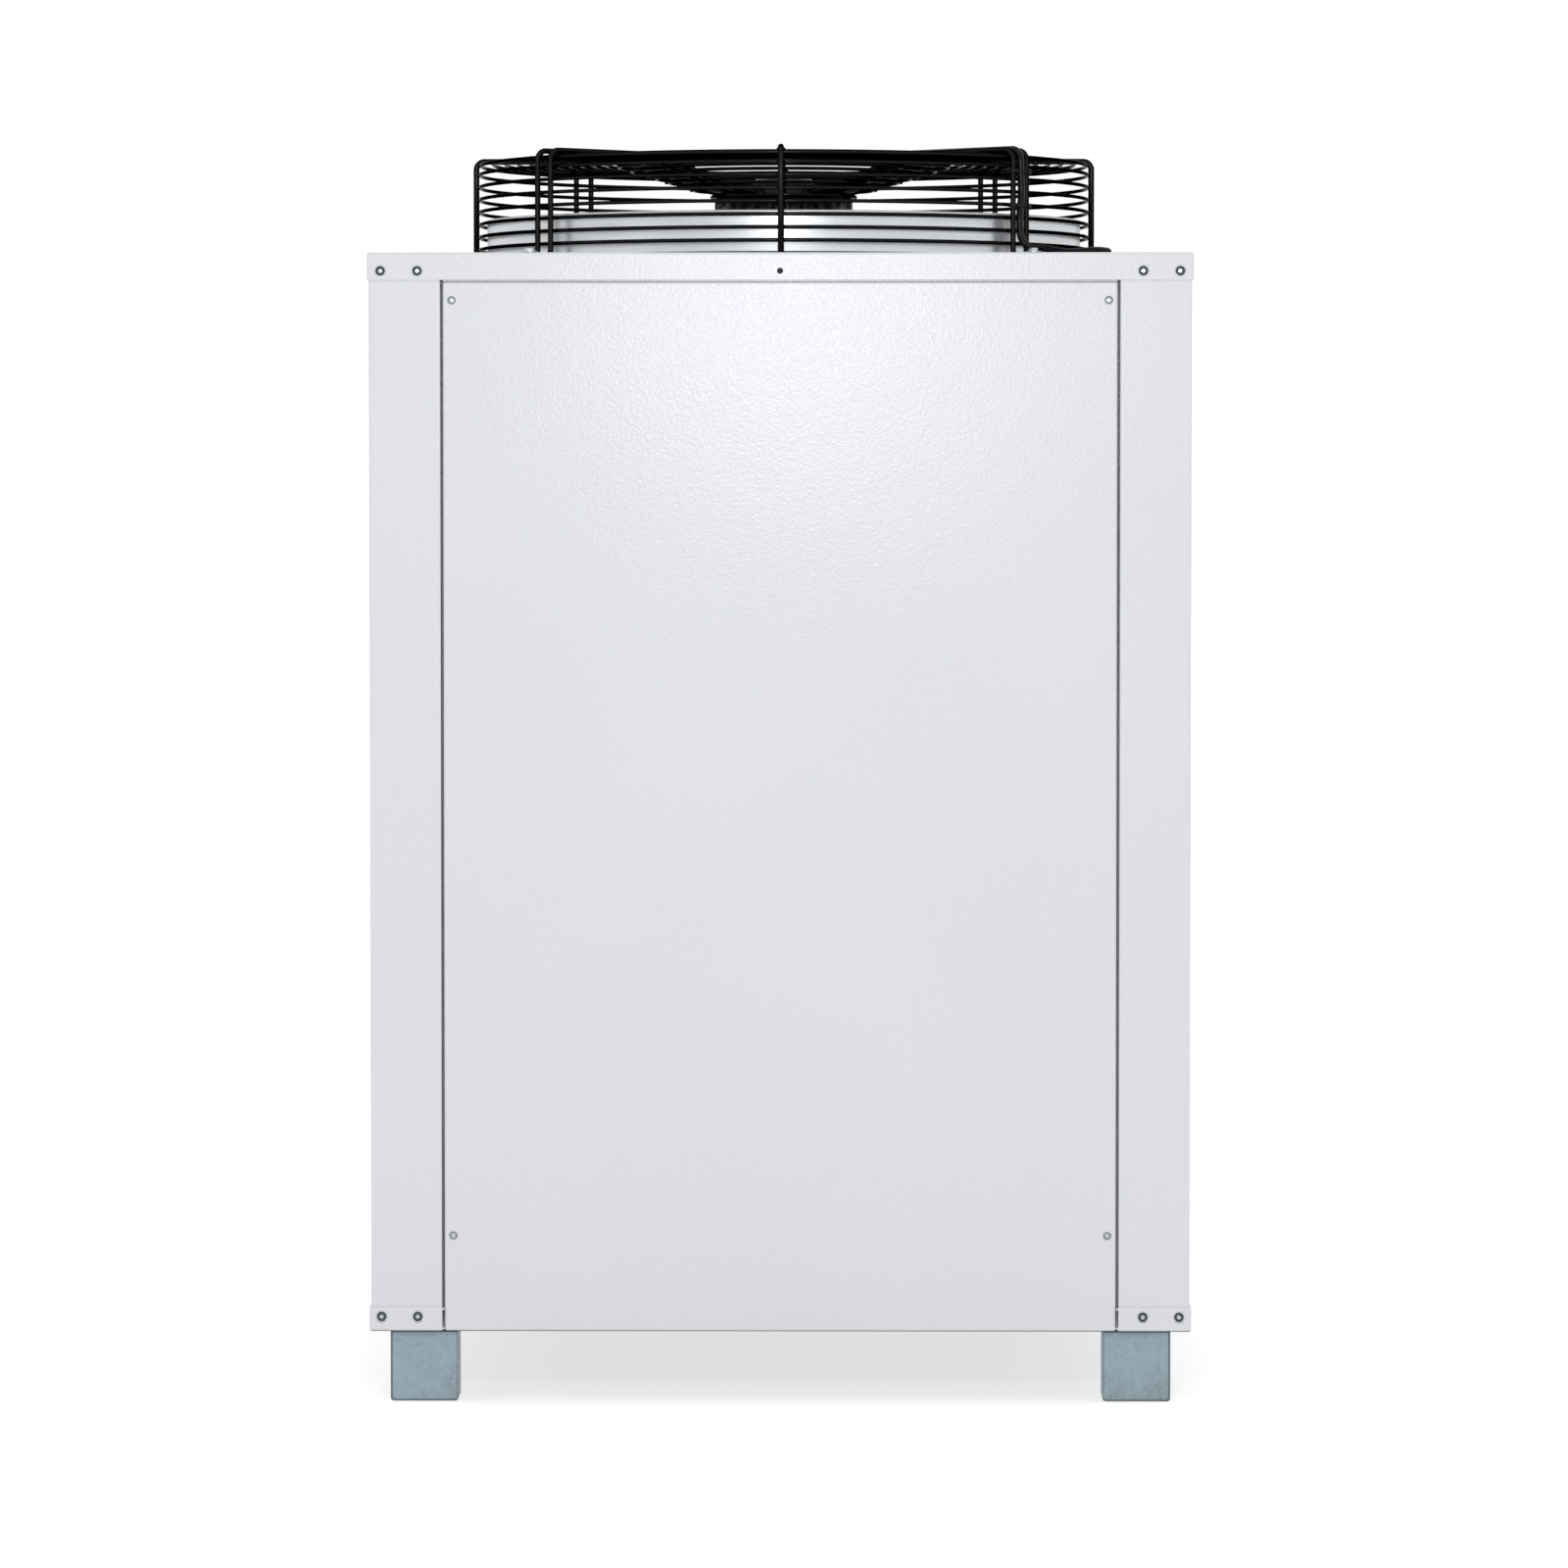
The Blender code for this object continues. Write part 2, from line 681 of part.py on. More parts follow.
def fan_rotor():
    """Hub and blades on the motor's shaft, carried by an empty on the fan's axis."""
    axis = bpy.data.objects.new("fan_axis", None)
    axis.location.z = ROOF_Z
    CABINET.objects.link(axis)
    high = MOTOR_LOW - HUB_GAP
    bore = SHAFT_R + SHAFT_PLAY
    floor = SHAFT_LOW - SHAFT_END
    profile = [(0.0, floor), (bore, floor), (bore, high), (HUB_R - HUB_EDGE, high), (HUB_R, high - HUB_EDGE)]
    profile += [(HUB_R, HUB_LOW + HUB_EDGE), (HUB_R - HUB_EDGE, HUB_LOW), (0.0, HUB_LOW)]
    rotor = turned("fan_rotor", profile, 48)
    rotor.parent = axis
    shape = blade_mesh()
    for index in range(BLADES):
        blade = helper(bpy.data.objects.new(f"blade_{index}", shape))
        blade.parent = axis
        blade.rotation_euler.z = math.tau * index / BLADES
        boolean(rotor, blade, "UNION")
    node(rotor, "fan_rotor", "fan_black")


def main():
    clear_scene()
    roof_tray()
    posts()
    base_tray()
    panels()
    deck()
    coils()
    feet()
    fan_collar()
    guard_rings()
    guard_struts()
    fan_cable()
    motor()
    fan_rotor()


main()
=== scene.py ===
"""Air-cooled water chiller in its finishes: folded sheets, coils, fan, wire guard and studio.

Every piece is built in the packed model's own frame: metres, +Z up, front towards -Y, fan axis on
x = y = 0. Pieces for one side are made for the back (+Y) and turned to their side in quarter turns.
"""

import json
import math
import random
from dataclasses import dataclass

import bmesh
import bpy
from bpy.props import FloatProperty, FloatVectorProperty, IntProperty, PointerProperty
from mathutils import Matrix, Vector

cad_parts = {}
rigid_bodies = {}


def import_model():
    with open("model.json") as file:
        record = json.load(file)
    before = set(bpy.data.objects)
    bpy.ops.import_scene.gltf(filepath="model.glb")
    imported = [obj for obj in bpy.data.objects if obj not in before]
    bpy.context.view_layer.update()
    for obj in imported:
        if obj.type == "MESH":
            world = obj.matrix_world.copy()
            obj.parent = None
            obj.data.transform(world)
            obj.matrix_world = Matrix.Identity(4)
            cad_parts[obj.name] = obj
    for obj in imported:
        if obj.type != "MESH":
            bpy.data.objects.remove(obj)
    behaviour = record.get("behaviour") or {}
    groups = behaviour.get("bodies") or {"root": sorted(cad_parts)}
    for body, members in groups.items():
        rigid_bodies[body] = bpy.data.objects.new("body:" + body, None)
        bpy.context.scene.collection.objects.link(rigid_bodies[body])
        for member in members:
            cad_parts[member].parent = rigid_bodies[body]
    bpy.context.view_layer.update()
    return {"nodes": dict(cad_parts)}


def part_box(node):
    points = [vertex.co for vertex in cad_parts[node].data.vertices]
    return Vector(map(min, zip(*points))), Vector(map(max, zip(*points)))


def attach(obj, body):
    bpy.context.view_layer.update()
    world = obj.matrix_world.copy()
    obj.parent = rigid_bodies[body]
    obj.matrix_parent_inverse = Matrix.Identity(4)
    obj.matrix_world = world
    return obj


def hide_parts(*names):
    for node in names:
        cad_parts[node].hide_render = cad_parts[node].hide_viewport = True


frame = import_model()

bl_info = {
    "name": "Air-cooled water chiller",
    "version": (1, 0, 0),
    "blender": (4, 5, 0),
    "location": "View3D > Sidebar > Chiller",
    "description": "Builds the finished pieces of a water chiller cabinet and the studio round it",
    "category": "Object",
}

# places read from the packed model
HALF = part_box("roof_tray")[1].x
ROOF_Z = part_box("roof_tray")[1].z
CAP_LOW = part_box("roof_tray")[0].z
BASE_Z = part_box("base_tray")[0].z
LIP_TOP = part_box("base_tray")[1].z
POST_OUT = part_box("post_fr")[1].x
PANEL_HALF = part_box("front_panel")[1].x
PANEL_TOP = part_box("front_panel")[1].z
SIDE_PANEL_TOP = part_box("side_panel_left")[1].z
PANEL_DEEP = POST_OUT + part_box("front_panel")[1].y
COLLAR_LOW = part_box("fan_collar")[0].z
COLLAR_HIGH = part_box("fan_collar")[1].z
HUB_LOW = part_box("fan_rotor")[0].z - ROOF_Z

# sheet metal
SEAT = 0.0003
SHEET = 0.0015
FOOT_SHEET = 0.0025
POST_IN = POST_OUT - 0.0735
POST_FLANGE = 0.02475
REBATE = POST_OUT - PANEL_DEEP - SEAT
FOOT_BEND = 0.0034
CAP_HOLE_R = 0.00320
CAP_HOLE_DOWN = 0.019

# fan collar
COLLAR_OUT = HALF - 0.1025
COLLAR_SHEET = 0.002
COLLAR_IN = COLLAR_OUT - COLLAR_SHEET
COLLAR_FLANGE = 0.0275
LIP_R = 0.002
BELL_R = 0.024

# wire guard, with heights above the roof
RIB_R = 0.00325
RIB_TOP = 0.11325
RIB_BEND = 0.009
RIB_LINE = COLLAR_OUT + 0.009 + RIB_R
RING_R = 0.002
RING_FIRST = 0.0026
RING_PITCH = 0.0136
RING_DROP = RIB_R + RING_R - 0.0012
DISH_START = 0.075
DISH_OUTER = DISH_START + 0.110
DISH_FLOOR = 0.0795
DISH_SLOPE = math.atan2(RIB_TOP - DISH_FLOOR, DISH_OUTER - DISH_START)
WIRE_END = 0.050
STRUT_R = 0.003
STRUT_HALF = 0.0108
STRUT_TOE = 0.020
STRUT_BEND = 0.006
FRONT_STRUTS = math.radians(41.6)
BACK_STRUTS = math.radians(47.4)
STRUTS = (
    ("br", BACK_STRUTS),
    ("bl", math.pi - BACK_STRUTS),
    ("fl", math.pi + FRONT_STRUTS),
    ("fr", -FRONT_STRUTS),
)
CABLE_R = 0.004
GLAND_R = 0.0085
GLAND_H = 0.004

# motor and fan, with heights above the roof
PLATE_TOP = DISH_FLOOR - RIB_R - SEAT
PLATE_R = 0.080
PLATE_T = 0.003
COVER_R = 0.034
COVER_H = 0.018
MOTOR_R = 0.075
MOTOR_CORE_R = 0.067
MOTOR_FINS = 24
MOTOR_LOW = 0.040
SHAFT_R = 0.010
HUB_R = 0.070
HUB_HIGH = MOTOR_LOW - 0.006
TIP_R = COLLAR_IN * math.cos(math.pi / 40) - 0.0055
BLADE_MID = -0.012
BLADE_T = 0.004
BLADE_THIN = 0.0016
ROOT_CHORD = 0.115
TIP_CHORD = 0.175
ROOT_PITCH = math.radians(42)
TIP_PITCH = math.radians(19)
TIP_SWEEP = math.radians(-14)
CAMBER = 0.055
STATIONS = 26
CHORDWISE = 18
STATION_EASE = 1.25  # above 1 puts more stations near the hub
SWELL_REACH = 0.006
EDGE_THIN = 3.2


def mid(node, axis):
    """The middle of a packed node's box along an axis."""
    low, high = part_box(node)
    return (low[axis] + high[axis]) / 2


# back fittings
X_AXIS, Z_AXIS = 0, 2
SOCKET_X = mid("water_inlet", X_AXIS)
SOCKET_R = 0.0210
SOCKET_BORE = 0.0152
SOCKET_FLANGE = 0.0280
THREAD_PITCH = 0.0023
GROMMET_R = 0.0115
GROMMET_BORE = 0.0070
GROMMET_FLANGE = 0.0155


def length(name, description, default, low, high):
    return FloatProperty(
        name=name, description=description, default=default, min=low, max=high, unit="LENGTH"
    )


def number(name, description, default, low, high):
    return IntProperty(name=name, description=description, default=default, min=low, max=high)


def amount(name, description, default, high, unit="NONE"):
    return FloatProperty(
        name=name, description=description, default=default, min=0.0, max=high, unit=unit
    )


def colour(name, description, default):
    return FloatVectorProperty(
        name=name, description=description, default=default, min=0.0, max=1.0, subtype="COLOR"
    )


class SheetSettings(bpy.types.PropertyGroup):
    """Sizes of the folded sheets and of the screws that hold them."""

    bend: length("Bend radius", "Outer radius of the cabinet's folds", 0.0026, 0.0018, 0.0050)
    head_radius: length(
        "Frame screw radius", "Radius of the pan heads on cap and base", 0.00485, 0.0030, 0.0060
    )
    panel_head_radius: length(
        "Panel screw radius", "Radius of the pan heads on the panels", 0.0043, 0.0030, 0.0060
    )


class CoilSettings(bpy.types.PropertyGroup):
    """The fin block of the side coils."""

    fin_pitch: length("Fin pitch", "Distance from one fin to the next", 0.0022, 0.0016, 0.0060)
    tube_pitch: length("Tube pitch", "Height from one tube to the next", 0.0254, 0.0150, 0.0500)


class GuardSettings(bpy.types.PropertyGroup):
    """How finely the wire guard and the collar are drawn."""

    ring_steps: number("Ring steps", "Straight steps round each ring wire", 160, 48, 256)
    wire_sides: number("Wire sides", "Faces round each wire", 10, 6, 16)
    collar_steps: number("Collar steps", "Straight steps round the fan collar", 192, 64, 256)


class FanSettings(bpy.types.PropertyGroup):
    """The fan wheel."""

    blades: number("Blades", "Number of fan blades", 5, 3, 9)
    root_swell: amount("Root swell", "How much thicker a blade is at the hub", 1.3, 3.0)


class FinishSettings(bpy.types.PropertyGroup):
    """Colours of the finishes, as linear values."""

    paint: colour("Cabinet paint", "Colour of the structured powder coat", (0.708, 0.722, 0.757))
    galvanised: colour(
        "Galvanised steel", "Colour of the feet, deck and coil frames", (0.272, 0.352, 0.394)
    )
    collar: colour("Collar sheet", "Colour of the sheet round the fan", (0.760, 0.790, 0.820))
    wire: colour("Guard wire", "Colour of the coat on the guard's wires", (0.0140, 0.0140, 0.0145))
    fan: colour("Fan", "Colour of the hub and blades", (0.010, 0.010, 0.011))


class StudioSettings(bpy.types.PropertyGroup):
    """Lamps and room."""

    key_power: amount("Key light", "Power of the soft light by the camera", 17.0, 200.0, "POWER")
    room_light: amount("Room light", "Strength of the even light from all round", 0.87, 1.5)


# ---------------------------------------------------------------- mesh tools

HERE = Matrix()
ROOF_MIDDLE = Matrix.Translation((0.0, 0.0, ROOF_Z))
BACK, LEFT, FRONT, RIGHT = range(4)
FLAT_ANGLE = 32.0
FLAT_WEIGHT = 90
FOLD_STEPS = 5
AXIS_R = 1e-6  # a radius below this lies on the axis
STRAIGHT = 0.01  # a corner that turns less than this stays as it is
EASE_SHARE = 0.49  # how much of a straight run an eased corner may take
END_BREAK = 0.3  # how far a wire's end is broken, as a share of its radius

# straight steps round turned shapes
RIVET_STEPS = 20
HOLE_STEPS = 24
SCREW_STEPS = 28
WASHER_STEPS = 32
SHAFT_STEPS = 48
GROMMET_STEPS = 64
MOTOR_STEPS = 72
HUB_STEPS = 96
OPENING_STEPS = 192
CABLE_SIDES = 14


def dress(obj, finish, body="cabinet", node=None):
    """Gives a piece its material and its body, and hides the node that it stands for."""
    obj.data.materials.append(finish.material())
    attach(obj, body)
    if node:
        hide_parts(node)
    return obj


def shade(mesh, angle):
    mesh.shade_smooth()
    mesh.set_sharp_from_angle(angle=math.radians(angle))


def link(name, shape, closed=True):
    """A bmesh as an object in the scene."""
    if closed:
        bmesh.ops.recalc_face_normals(shape, faces=shape.faces)
    mesh = bpy.data.meshes.new(name)
    shape.to_mesh(mesh)
    shape.free()
    obj = bpy.data.objects.new(name, mesh)
    bpy.context.scene.collection.objects.link(obj)
    return obj


def piece(name, shape, finish, node=None, body="cabinet", angle=35.0):
    """A bmesh as a finished piece."""
    obj = link(name, shape)
    shade(obj.data, angle)
    return dress(obj, finish, body, node)


def sheet_piece(obj, finish, node):
    """A sheet with flat faces kept flat beside its rounded folds."""
    shade(obj.data, FLAT_ANGLE)
    weigh = obj.modifiers.new("flat_faces", "WEIGHTED_NORMAL")
    weigh.mode = "FACE_AREA"
    weigh.weight = FLAT_WEIGHT
    weigh.keep_sharp = True
    return dress(obj, finish, node=node)


def baked(obj):
    """Applies an object's modifiers to its mesh."""
    bpy.context.view_layer.update()
    graph = bpy.context.evaluated_depsgraph_get()
    mesh = bpy.data.meshes.new_from_object(obj.evaluated_get(graph))
    obj.modifiers.clear()
    old = obj.data
    obj.data = mesh
    bpy.data.meshes.remove(old)
    obj.data.name = obj.name
    return obj


def add_block(shape, low, high, matrix=HERE):
    low, high = Vector(low), Vector(high)
    size = Matrix.Diagonal((*(high - low), 1.0))
    place = matrix @ Matrix.Translation((low + high) / 2) @ size
    bmesh.ops.create_cube(shape, size=1.0, matrix=place)


def folded_sheet(name, low, high, open_to, sheet=SHEET, bend=None):
    """A box of folded sheet metal, open on one side."""
    shape = bmesh.new()
    add_block(shape, low, high)
    shape.normal_update()
    gone = [face for face in shape.faces if face.normal.dot(Vector(open_to)) > 0.9]
    bmesh.ops.delete(shape, geom=gone, context="FACES")
    obj = link(name, shape, closed=False)
    fold = obj.modifiers.new("fold", "BEVEL")
    fold.width = bend or bpy.context.scene.chiller_sheets.bend
    fold.segments = FOLD_STEPS
    fold.limit_method = "ANGLE"
    wall = obj.modifiers.new("wall", "SOLIDIFY")
    wall.thickness = sheet
    wall.offset = -1.0
    wall.use_even_offset = True
    return baked(obj)


def cut(obj, shape):
    """Cuts the solids in a bmesh out of a piece."""
    cutter = link("cutter", shape)
    take = obj.modifiers.new("take", "BOOLEAN")
    take.operation = "DIFFERENCE"
    take.solver = "EXACT"
    take.object = cutter
    baked(obj)
    bpy.data.objects.remove(cutter, do_unlink=True)
    return obj


def turned(turns):
    """Quarter turns from the back: 1 is the left side, 2 the front and 3 the right side."""
    return Matrix.Rotation(math.pi / 2 * turns, 4, "Z")


def on_side(turns, x, out, z, spin=0.0):
    """A place on a side of the cabinet, with +Z pointing outward and turned by spin."""
    lay = Matrix.Rotation(-math.pi / 2, 4, "X") @ Matrix.Rotation(spin, 4, "Z")
    return turned(turns) @ Matrix.Translation((x, out, z)) @ lay


def on_roof(x, y, height, spin=0.0):
    return Matrix.Translation((x, y, ROOF_Z + height)) @ Matrix.Rotation(spin, 4, "Z")


def polar(radius, angle):
    return radius * math.cos(angle), radius * math.sin(angle)


def round_places(count, radius, first):
    """(x, y) of evenly spaced places on a circle, the first one at an angle in degrees."""
    return [polar(radius, math.radians(first + 360 / count * k)) for k in range(count)]


def arc(centre, radius, first, last, steps):
    """Points on a circle between two angles in degrees."""
    points = []
    for k in range(steps + 1):
        x, y = polar(radius, math.radians(first + (last - first) * k / steps))
        points.append((centre[0] + x, centre[1] + y))
    return points


def rounded(points, radius, steps=5):
    """A line of points with its corners eased to about a radius."""
    points = [Vector(point) for point in points]
    line = [points[0]]
    for before, corner, after in zip(points, points[1:], points[2:]):
        come, go = before - corner, after - corner
        turn = math.pi - come.angle(go)
        if turn < STRAIGHT:
            line.append(corner)
            continue
        room = min(come.length, go.length) * EASE_SHARE
        reach = min(radius * math.tan(turn / 2), room)
        first = corner + come.normalized() * reach
        last = corner + go.normalized() * reach
        for k in range(steps + 1):
            t = k / steps
            line.append(first * (1 - t) ** 2 + corner * (2 * t * (1 - t)) + last * t * t)
    line.append(points[-1])
    return line


def smoothed(points, steps):
    """A smooth line through a list of points."""
    ends = [points[0] * 2 - points[1]] + points + [points[-1] * 2 - points[-2]]
    line = []
    for a, b, c, d in zip(ends, ends[1:], ends[2:], ends[3:]):
        for k in range(steps):
            t = k / steps
            bend = (b * 3 - a - c * 3 + d) * t**3 + (a * 2 - b * 5 + c * 4 - d) * t**2
            line.append((bend + (c - a) * t + b * 2) / 2)
    line.append(points[-1])
    return line


def beside(line, shift):
    """A plane line moved to its right by a distance."""
    moved = []
    for k, place in enumerate(line):
        come = (place - line[k - 1]) if k else (line[1] - place)
        go = (line[k + 1] - place) if k < len(line) - 1 else come
        before = Vector((come.y, -come.x)).normalized()
        after = Vector((go.y, -go.x)).normalized()
        mitre = (before + after).normalized()
        moved.append(place + mitre * (shift / mitre.dot(before)))
    return moved


def bridge(shape, rings, closed=False):
    """Joins each ring of vertices to the next one with faces, and the last to the first."""
    pairs = list(zip(rings, rings[1:]))
    if closed:
        pairs.append((rings[-1], rings[0]))
    for lower, upper in pairs:
        for k in range(len(lower)):
            after = (k + 1) % len(lower)
            corners = (lower[k], lower[after], upper[after], upper[k])
            shape.faces.new(list(dict.fromkeys(corners)))


def close_strip(shape, ring):
    """Closes the end of a strip, whose ring runs up one face and back down the other."""
    for k in range(len(ring) // 2 - 1):
        shape.faces.new((ring[k], ring[k + 1], ring[-2 - k], ring[-1 - k]))


def add_strip(shape, outline, low, high, matrix):
    """Adds an upright sheet with a plane outline, from one height to another."""
    rings = []
    for z in (low, high):
        rings.append([shape.verts.new(matrix @ Vector((x, y, z))) for x, y in outline])
    bridge(shape, rings)
    for ring in rings:
        close_strip(shape, ring)


def add_prism(shape, outlines):
    """Adds a solid through outlines of the same number of places, closed at both ends."""
    rings = [[shape.verts.new(place) for place in outline] for outline in outlines]
    bridge(shape, rings)
    shape.faces.new(rings[0])
    shape.faces.new(rings[-1])


def add_drum(shape, radius, low, high, steps, matrix=HERE):
    bmesh.ops.create_cone(
        shape,
        cap_ends=True,
        segments=steps,
        radius1=radius,
        radius2=radius,
        depth=high - low,
        matrix=matrix @ Matrix.Translation((0.0, 0.0, (low + high) / 2)),
    )


def add_wire(shape, path, radius, sides=10, closed=False):
    """Adds a round bar along a path, with its ends slightly broken."""
    path = [Vector(place) for place in path]
    radii = [radius] * len(path)
    if not closed:
        first = (path[1] - path[0]).normalized() * radius * END_BREAK
        last = (path[-2] - path[-1]).normalized() * radius * END_BREAK
        path = [path[0], path[0] + first] + path[1:-1] + [path[-1] + last, path[-1]]
        radii = [radius] * len(path)
        radii[0] = radii[-1] = radius * (1 - END_BREAK)
    rings = []
    across = None
    for k, place in enumerate(path):
        before = path[k - 1] if closed or k else place
        after = path[(k + 1) % len(path)] if closed or k < len(path) - 1 else place
        along = (after - before).normalized()
        if across is None:
            across = Vector((0, 0, 1)) if abs(along.z) < 0.9 else Vector((1, 0, 0))
        across = (across - along * across.dot(along)).normalized()
        other = along.cross(across)
        ring = []
        for j in range(sides):
            angle = math.tau * j / sides
            turn = across * math.cos(angle) + other * math.sin(angle)
            ring.append(shape.verts.new(place + turn * radii[k]))
        rings.append(ring)
    bridge(shape, rings, closed)
    if not closed:
        shape.faces.new(rings[0])
        shape.faces.new(rings[-1])


def add_lathe(shape, profile, steps, matrix=HERE):
    """Adds a turned solid: a (radius, height) outline, closed or with both ends on the axis."""
    rings = []
    for radius, height in profile:
        if radius < AXIS_R:
            ring = [shape.verts.new(matrix @ Vector((0.0, 0.0, height)))] * steps
        else:
            places = [(*polar(radius, math.tau * k / steps), height) for k in range(steps)]
            ring = [shape.verts.new(matrix @ Vector(place)) for place in places]
        rings.append(ring)
    bridge(shape, rings, closed=min(profile[0][0], profile[-1][0]) > AXIS_R)


def add_bead(shape, place, size, turn=0.0):
    """Adds a small drawn-out ball, such as a weld, with its half sizes along x, y and z."""
    size = Matrix.Rotation(turn, 4, "Z") @ Matrix.Diagonal((*size, 1.0))
    place = Matrix.Translation(place) @ size
    bmesh.ops.create_icosphere(shape, subdivisions=2, radius=1.0, matrix=place)


def stamp(shape, template, matrix):
    """Adds a copy of a template mesh at a place."""
    count = len(shape.verts)
    shape.from_mesh(template)
    shape.verts.ensure_lookup_table()
    bmesh.ops.transform(shape, matrix=matrix, verts=shape.verts[count:])


def template(name, shape, cutter=None):
    """A mesh to stamp, with an optional cut in it."""
    obj = link(name, shape)
    if cutter:
        cut(obj, cutter)
    mesh = obj.data
    bpy.data.objects.remove(obj, do_unlink=True)
    return mesh


# a pan head's outline as shares of its radius and height, then its recess from above downward
# as (height, reach of an arm, half width of an arm)
PAN_LINE = (
    (0.0, 0.0), (0.97, 0.0), (1.0, 0.10), (0.97, 0.22), (0.82, 0.60), (0.66, 0.86),
    (0.54, 0.96), (0.44, 1.0), (0.0, 1.0),
)
RECESS = ((1.5, 0.44, 0.12), (0.95, 0.40, 0.10), (0.35, 0.26, 0.07))
PAN_FLAT = 0.42
# a bolt head's outline: (height, limit of the radius)
HEX_LINE = ((0.0, 0.97), (0.06, 1.0), (0.78, 1.0), (0.94, 0.93), (1.0, 0.80))
HEX_STEPS = 24


def pan_head(radius, height):
    """A screw with a sloping flank, a flat face and a cross recess, sitting on z = 0."""
    shape = bmesh.new()
    add_lathe(shape, [(radius * wide, height * rise) for wide, rise in PAN_LINE], SCREW_STEPS)
    recess = bmesh.new()
    outlines = []
    for rise, arm, thick in RECESS:
        reach, half = arm * radius, thick * radius
        outline = []
        for k in range(4):
            spin = Matrix.Rotation(math.pi / 2 * k, 2)
            for corner in ((reach, -half), (reach, half), (half, half)):
                outline.append((*(spin @ Vector(corner)), height * rise))
        outlines.append(outline)
    add_prism(recess, outlines)
    mesh = template("pan_head", shape, recess)
    # the flank faces take the second material, a painted shade
    for face in mesh.polygons:
        flat = face.normal.z > 0.5 and face.center.xy.length < radius * PAN_FLAT
        face.material_index = 0 if flat else 1
    return mesh


def hex_head(across, height):
    """A hexagon bolt head with a turned top and a raised washer face."""
    shape = bmesh.new()
    outlines = []
    for rise, wide in HEX_LINE:
        ring = []
        for k in range(HEX_STEPS):
            angle = math.tau * k / HEX_STEPS
            flat = math.cos(math.pi / 6) / math.cos((angle % (math.pi / 3)) - math.pi / 6)
            ring.append((*polar(across / math.sqrt(3) * min(flat, wide), angle), height * rise))
        outlines.append(ring)
    add_prism(shape, outlines)
    return template("hex_head", shape)


def washer(shape, radius, bore, low, high, matrix):
    edge = (high - low) * 0.25
    profile = [(bore, low), (radius - edge, low), (radius, low + edge), (radius, high - edge)]
    profile += [(radius - edge, high), (bore + edge, high), (bore, high - edge)]
    add_lathe(shape, profile, WASHER_STEPS, matrix)


# ---------------------------------------------------------------- node groups


def put(tree, kind, wires=None, **settings):
    """Adds a node; wires gives its inputs, as values or as sockets to link from."""
    made = tree.nodes.new(kind)
    for key, value in settings.items():
        setattr(made, key, value)
    for key, value in (wires or {}).items():
        if isinstance(value, bpy.types.NodeSocket):
            tree.links.new(value, made.inputs[key])
        else:
            made.inputs[key].default_value = value
    return made


def maths(tree, operation, first, second=0.0):
    return put(tree, "ShaderNodeMath", {0: first, 1: second}, operation=operation).outputs[0]


def vector_maths(tree, operation, first, second):
    made = put(tree, "ShaderNodeVectorMath", {0: first, 1: second}, operation=operation)
    return made.outputs[0]


def blend_colour(tree, share, first, second):
    wires = {0: share, 6: first, 7: second}
    return put(tree, "ShaderNodeMix", wires, data_type="RGBA").outputs[2]


def spread(tree, value, low, high, start=0.0, end=1.0):
    """A value's range from start to end, spread between low and high."""
    wires = {"Value": value, "From Min": start, "From Max": end, "To Min": low, "To Max": high}
    return put(tree, "ShaderNodeMapRange", wires).outputs[0]


def noise(tree, place, scale, detail=3.0, rough=0.5):
    wires = {"Vector": place, "Scale": scale, "Detail": detail, "Roughness": rough}
    return put(tree, "ShaderNodeTexNoise", wires).outputs[0]


SOCKETS = {
    "Place": ("NodeSocketVector", None),
    "Colour": ("NodeSocketColor", (0.5, 0.5, 0.5, 1.0)),
    "Other Colour": ("NodeSocketColor", (0.3, 0.3, 0.3, 1.0)),
    "Scale": ("NodeSocketFloat", 100.0),
    "Tone": ("NodeSocketFloat", 0.05),
    "Rough": ("NodeSocketFloat", 0.5),
    "Rough Spread": ("NodeSocketFloat", 0.1),
    "Low": ("NodeSocketFloat", 0.0),
    "High": ("NodeSocketFloat", 0.3),
    "Amount": ("NodeSocketFloat", 0.2),
    "Roughness": ("NodeSocketFloat", 0.5),
    "Height": ("NodeSocketFloat", 0.5),
    "Mask": ("NodeSocketFloat", 0.0),
}


def effect(name, takes, gives=("Colour", "Roughness", "Height")):
    """Keeps one shader node group per effect; the function gives what to link to its outputs."""

    def wrap(build):
        def group():
            if name in bpy.data.node_groups:
                return bpy.data.node_groups[name]
            tree = bpy.data.node_groups.new(name, "ShaderNodeTree")
            for label in takes:
                kind, value = SOCKETS[label]
                socket = tree.interface.new_socket(label, in_out="INPUT", socket_type=kind)
                if value is not None:
                    socket.default_value = value
            for label in gives:
                tree.interface.new_socket(label, in_out="OUTPUT", socket_type=SOCKETS[label][0])
            made = build(tree, tree.nodes.new("NodeGroupInput").outputs)
            out = tree.nodes.new("NodeGroupOutput")
            for label, value in zip(gives, made):
                tree.links.new(value, out.inputs[label])
            return tree

        return group

    return wrap


def total(tree, *shares):
    """The sum of (value, factor) pairs."""
    parts = [maths(tree, "MULTIPLY", value, factor) for value, factor in shares]
    added = parts[0]
    for part in parts[1:]:
        added = maths(tree, "ADD", added, part)
    return added


def swung(tree, base, value, amount):
    """A base value, moved up and down as a value swings round a half."""
    swing = maths(tree, "MULTIPLY", maths(tree, "SUBTRACT", value, 0.5), amount)
    return maths(tree, "ADD", base, swing)


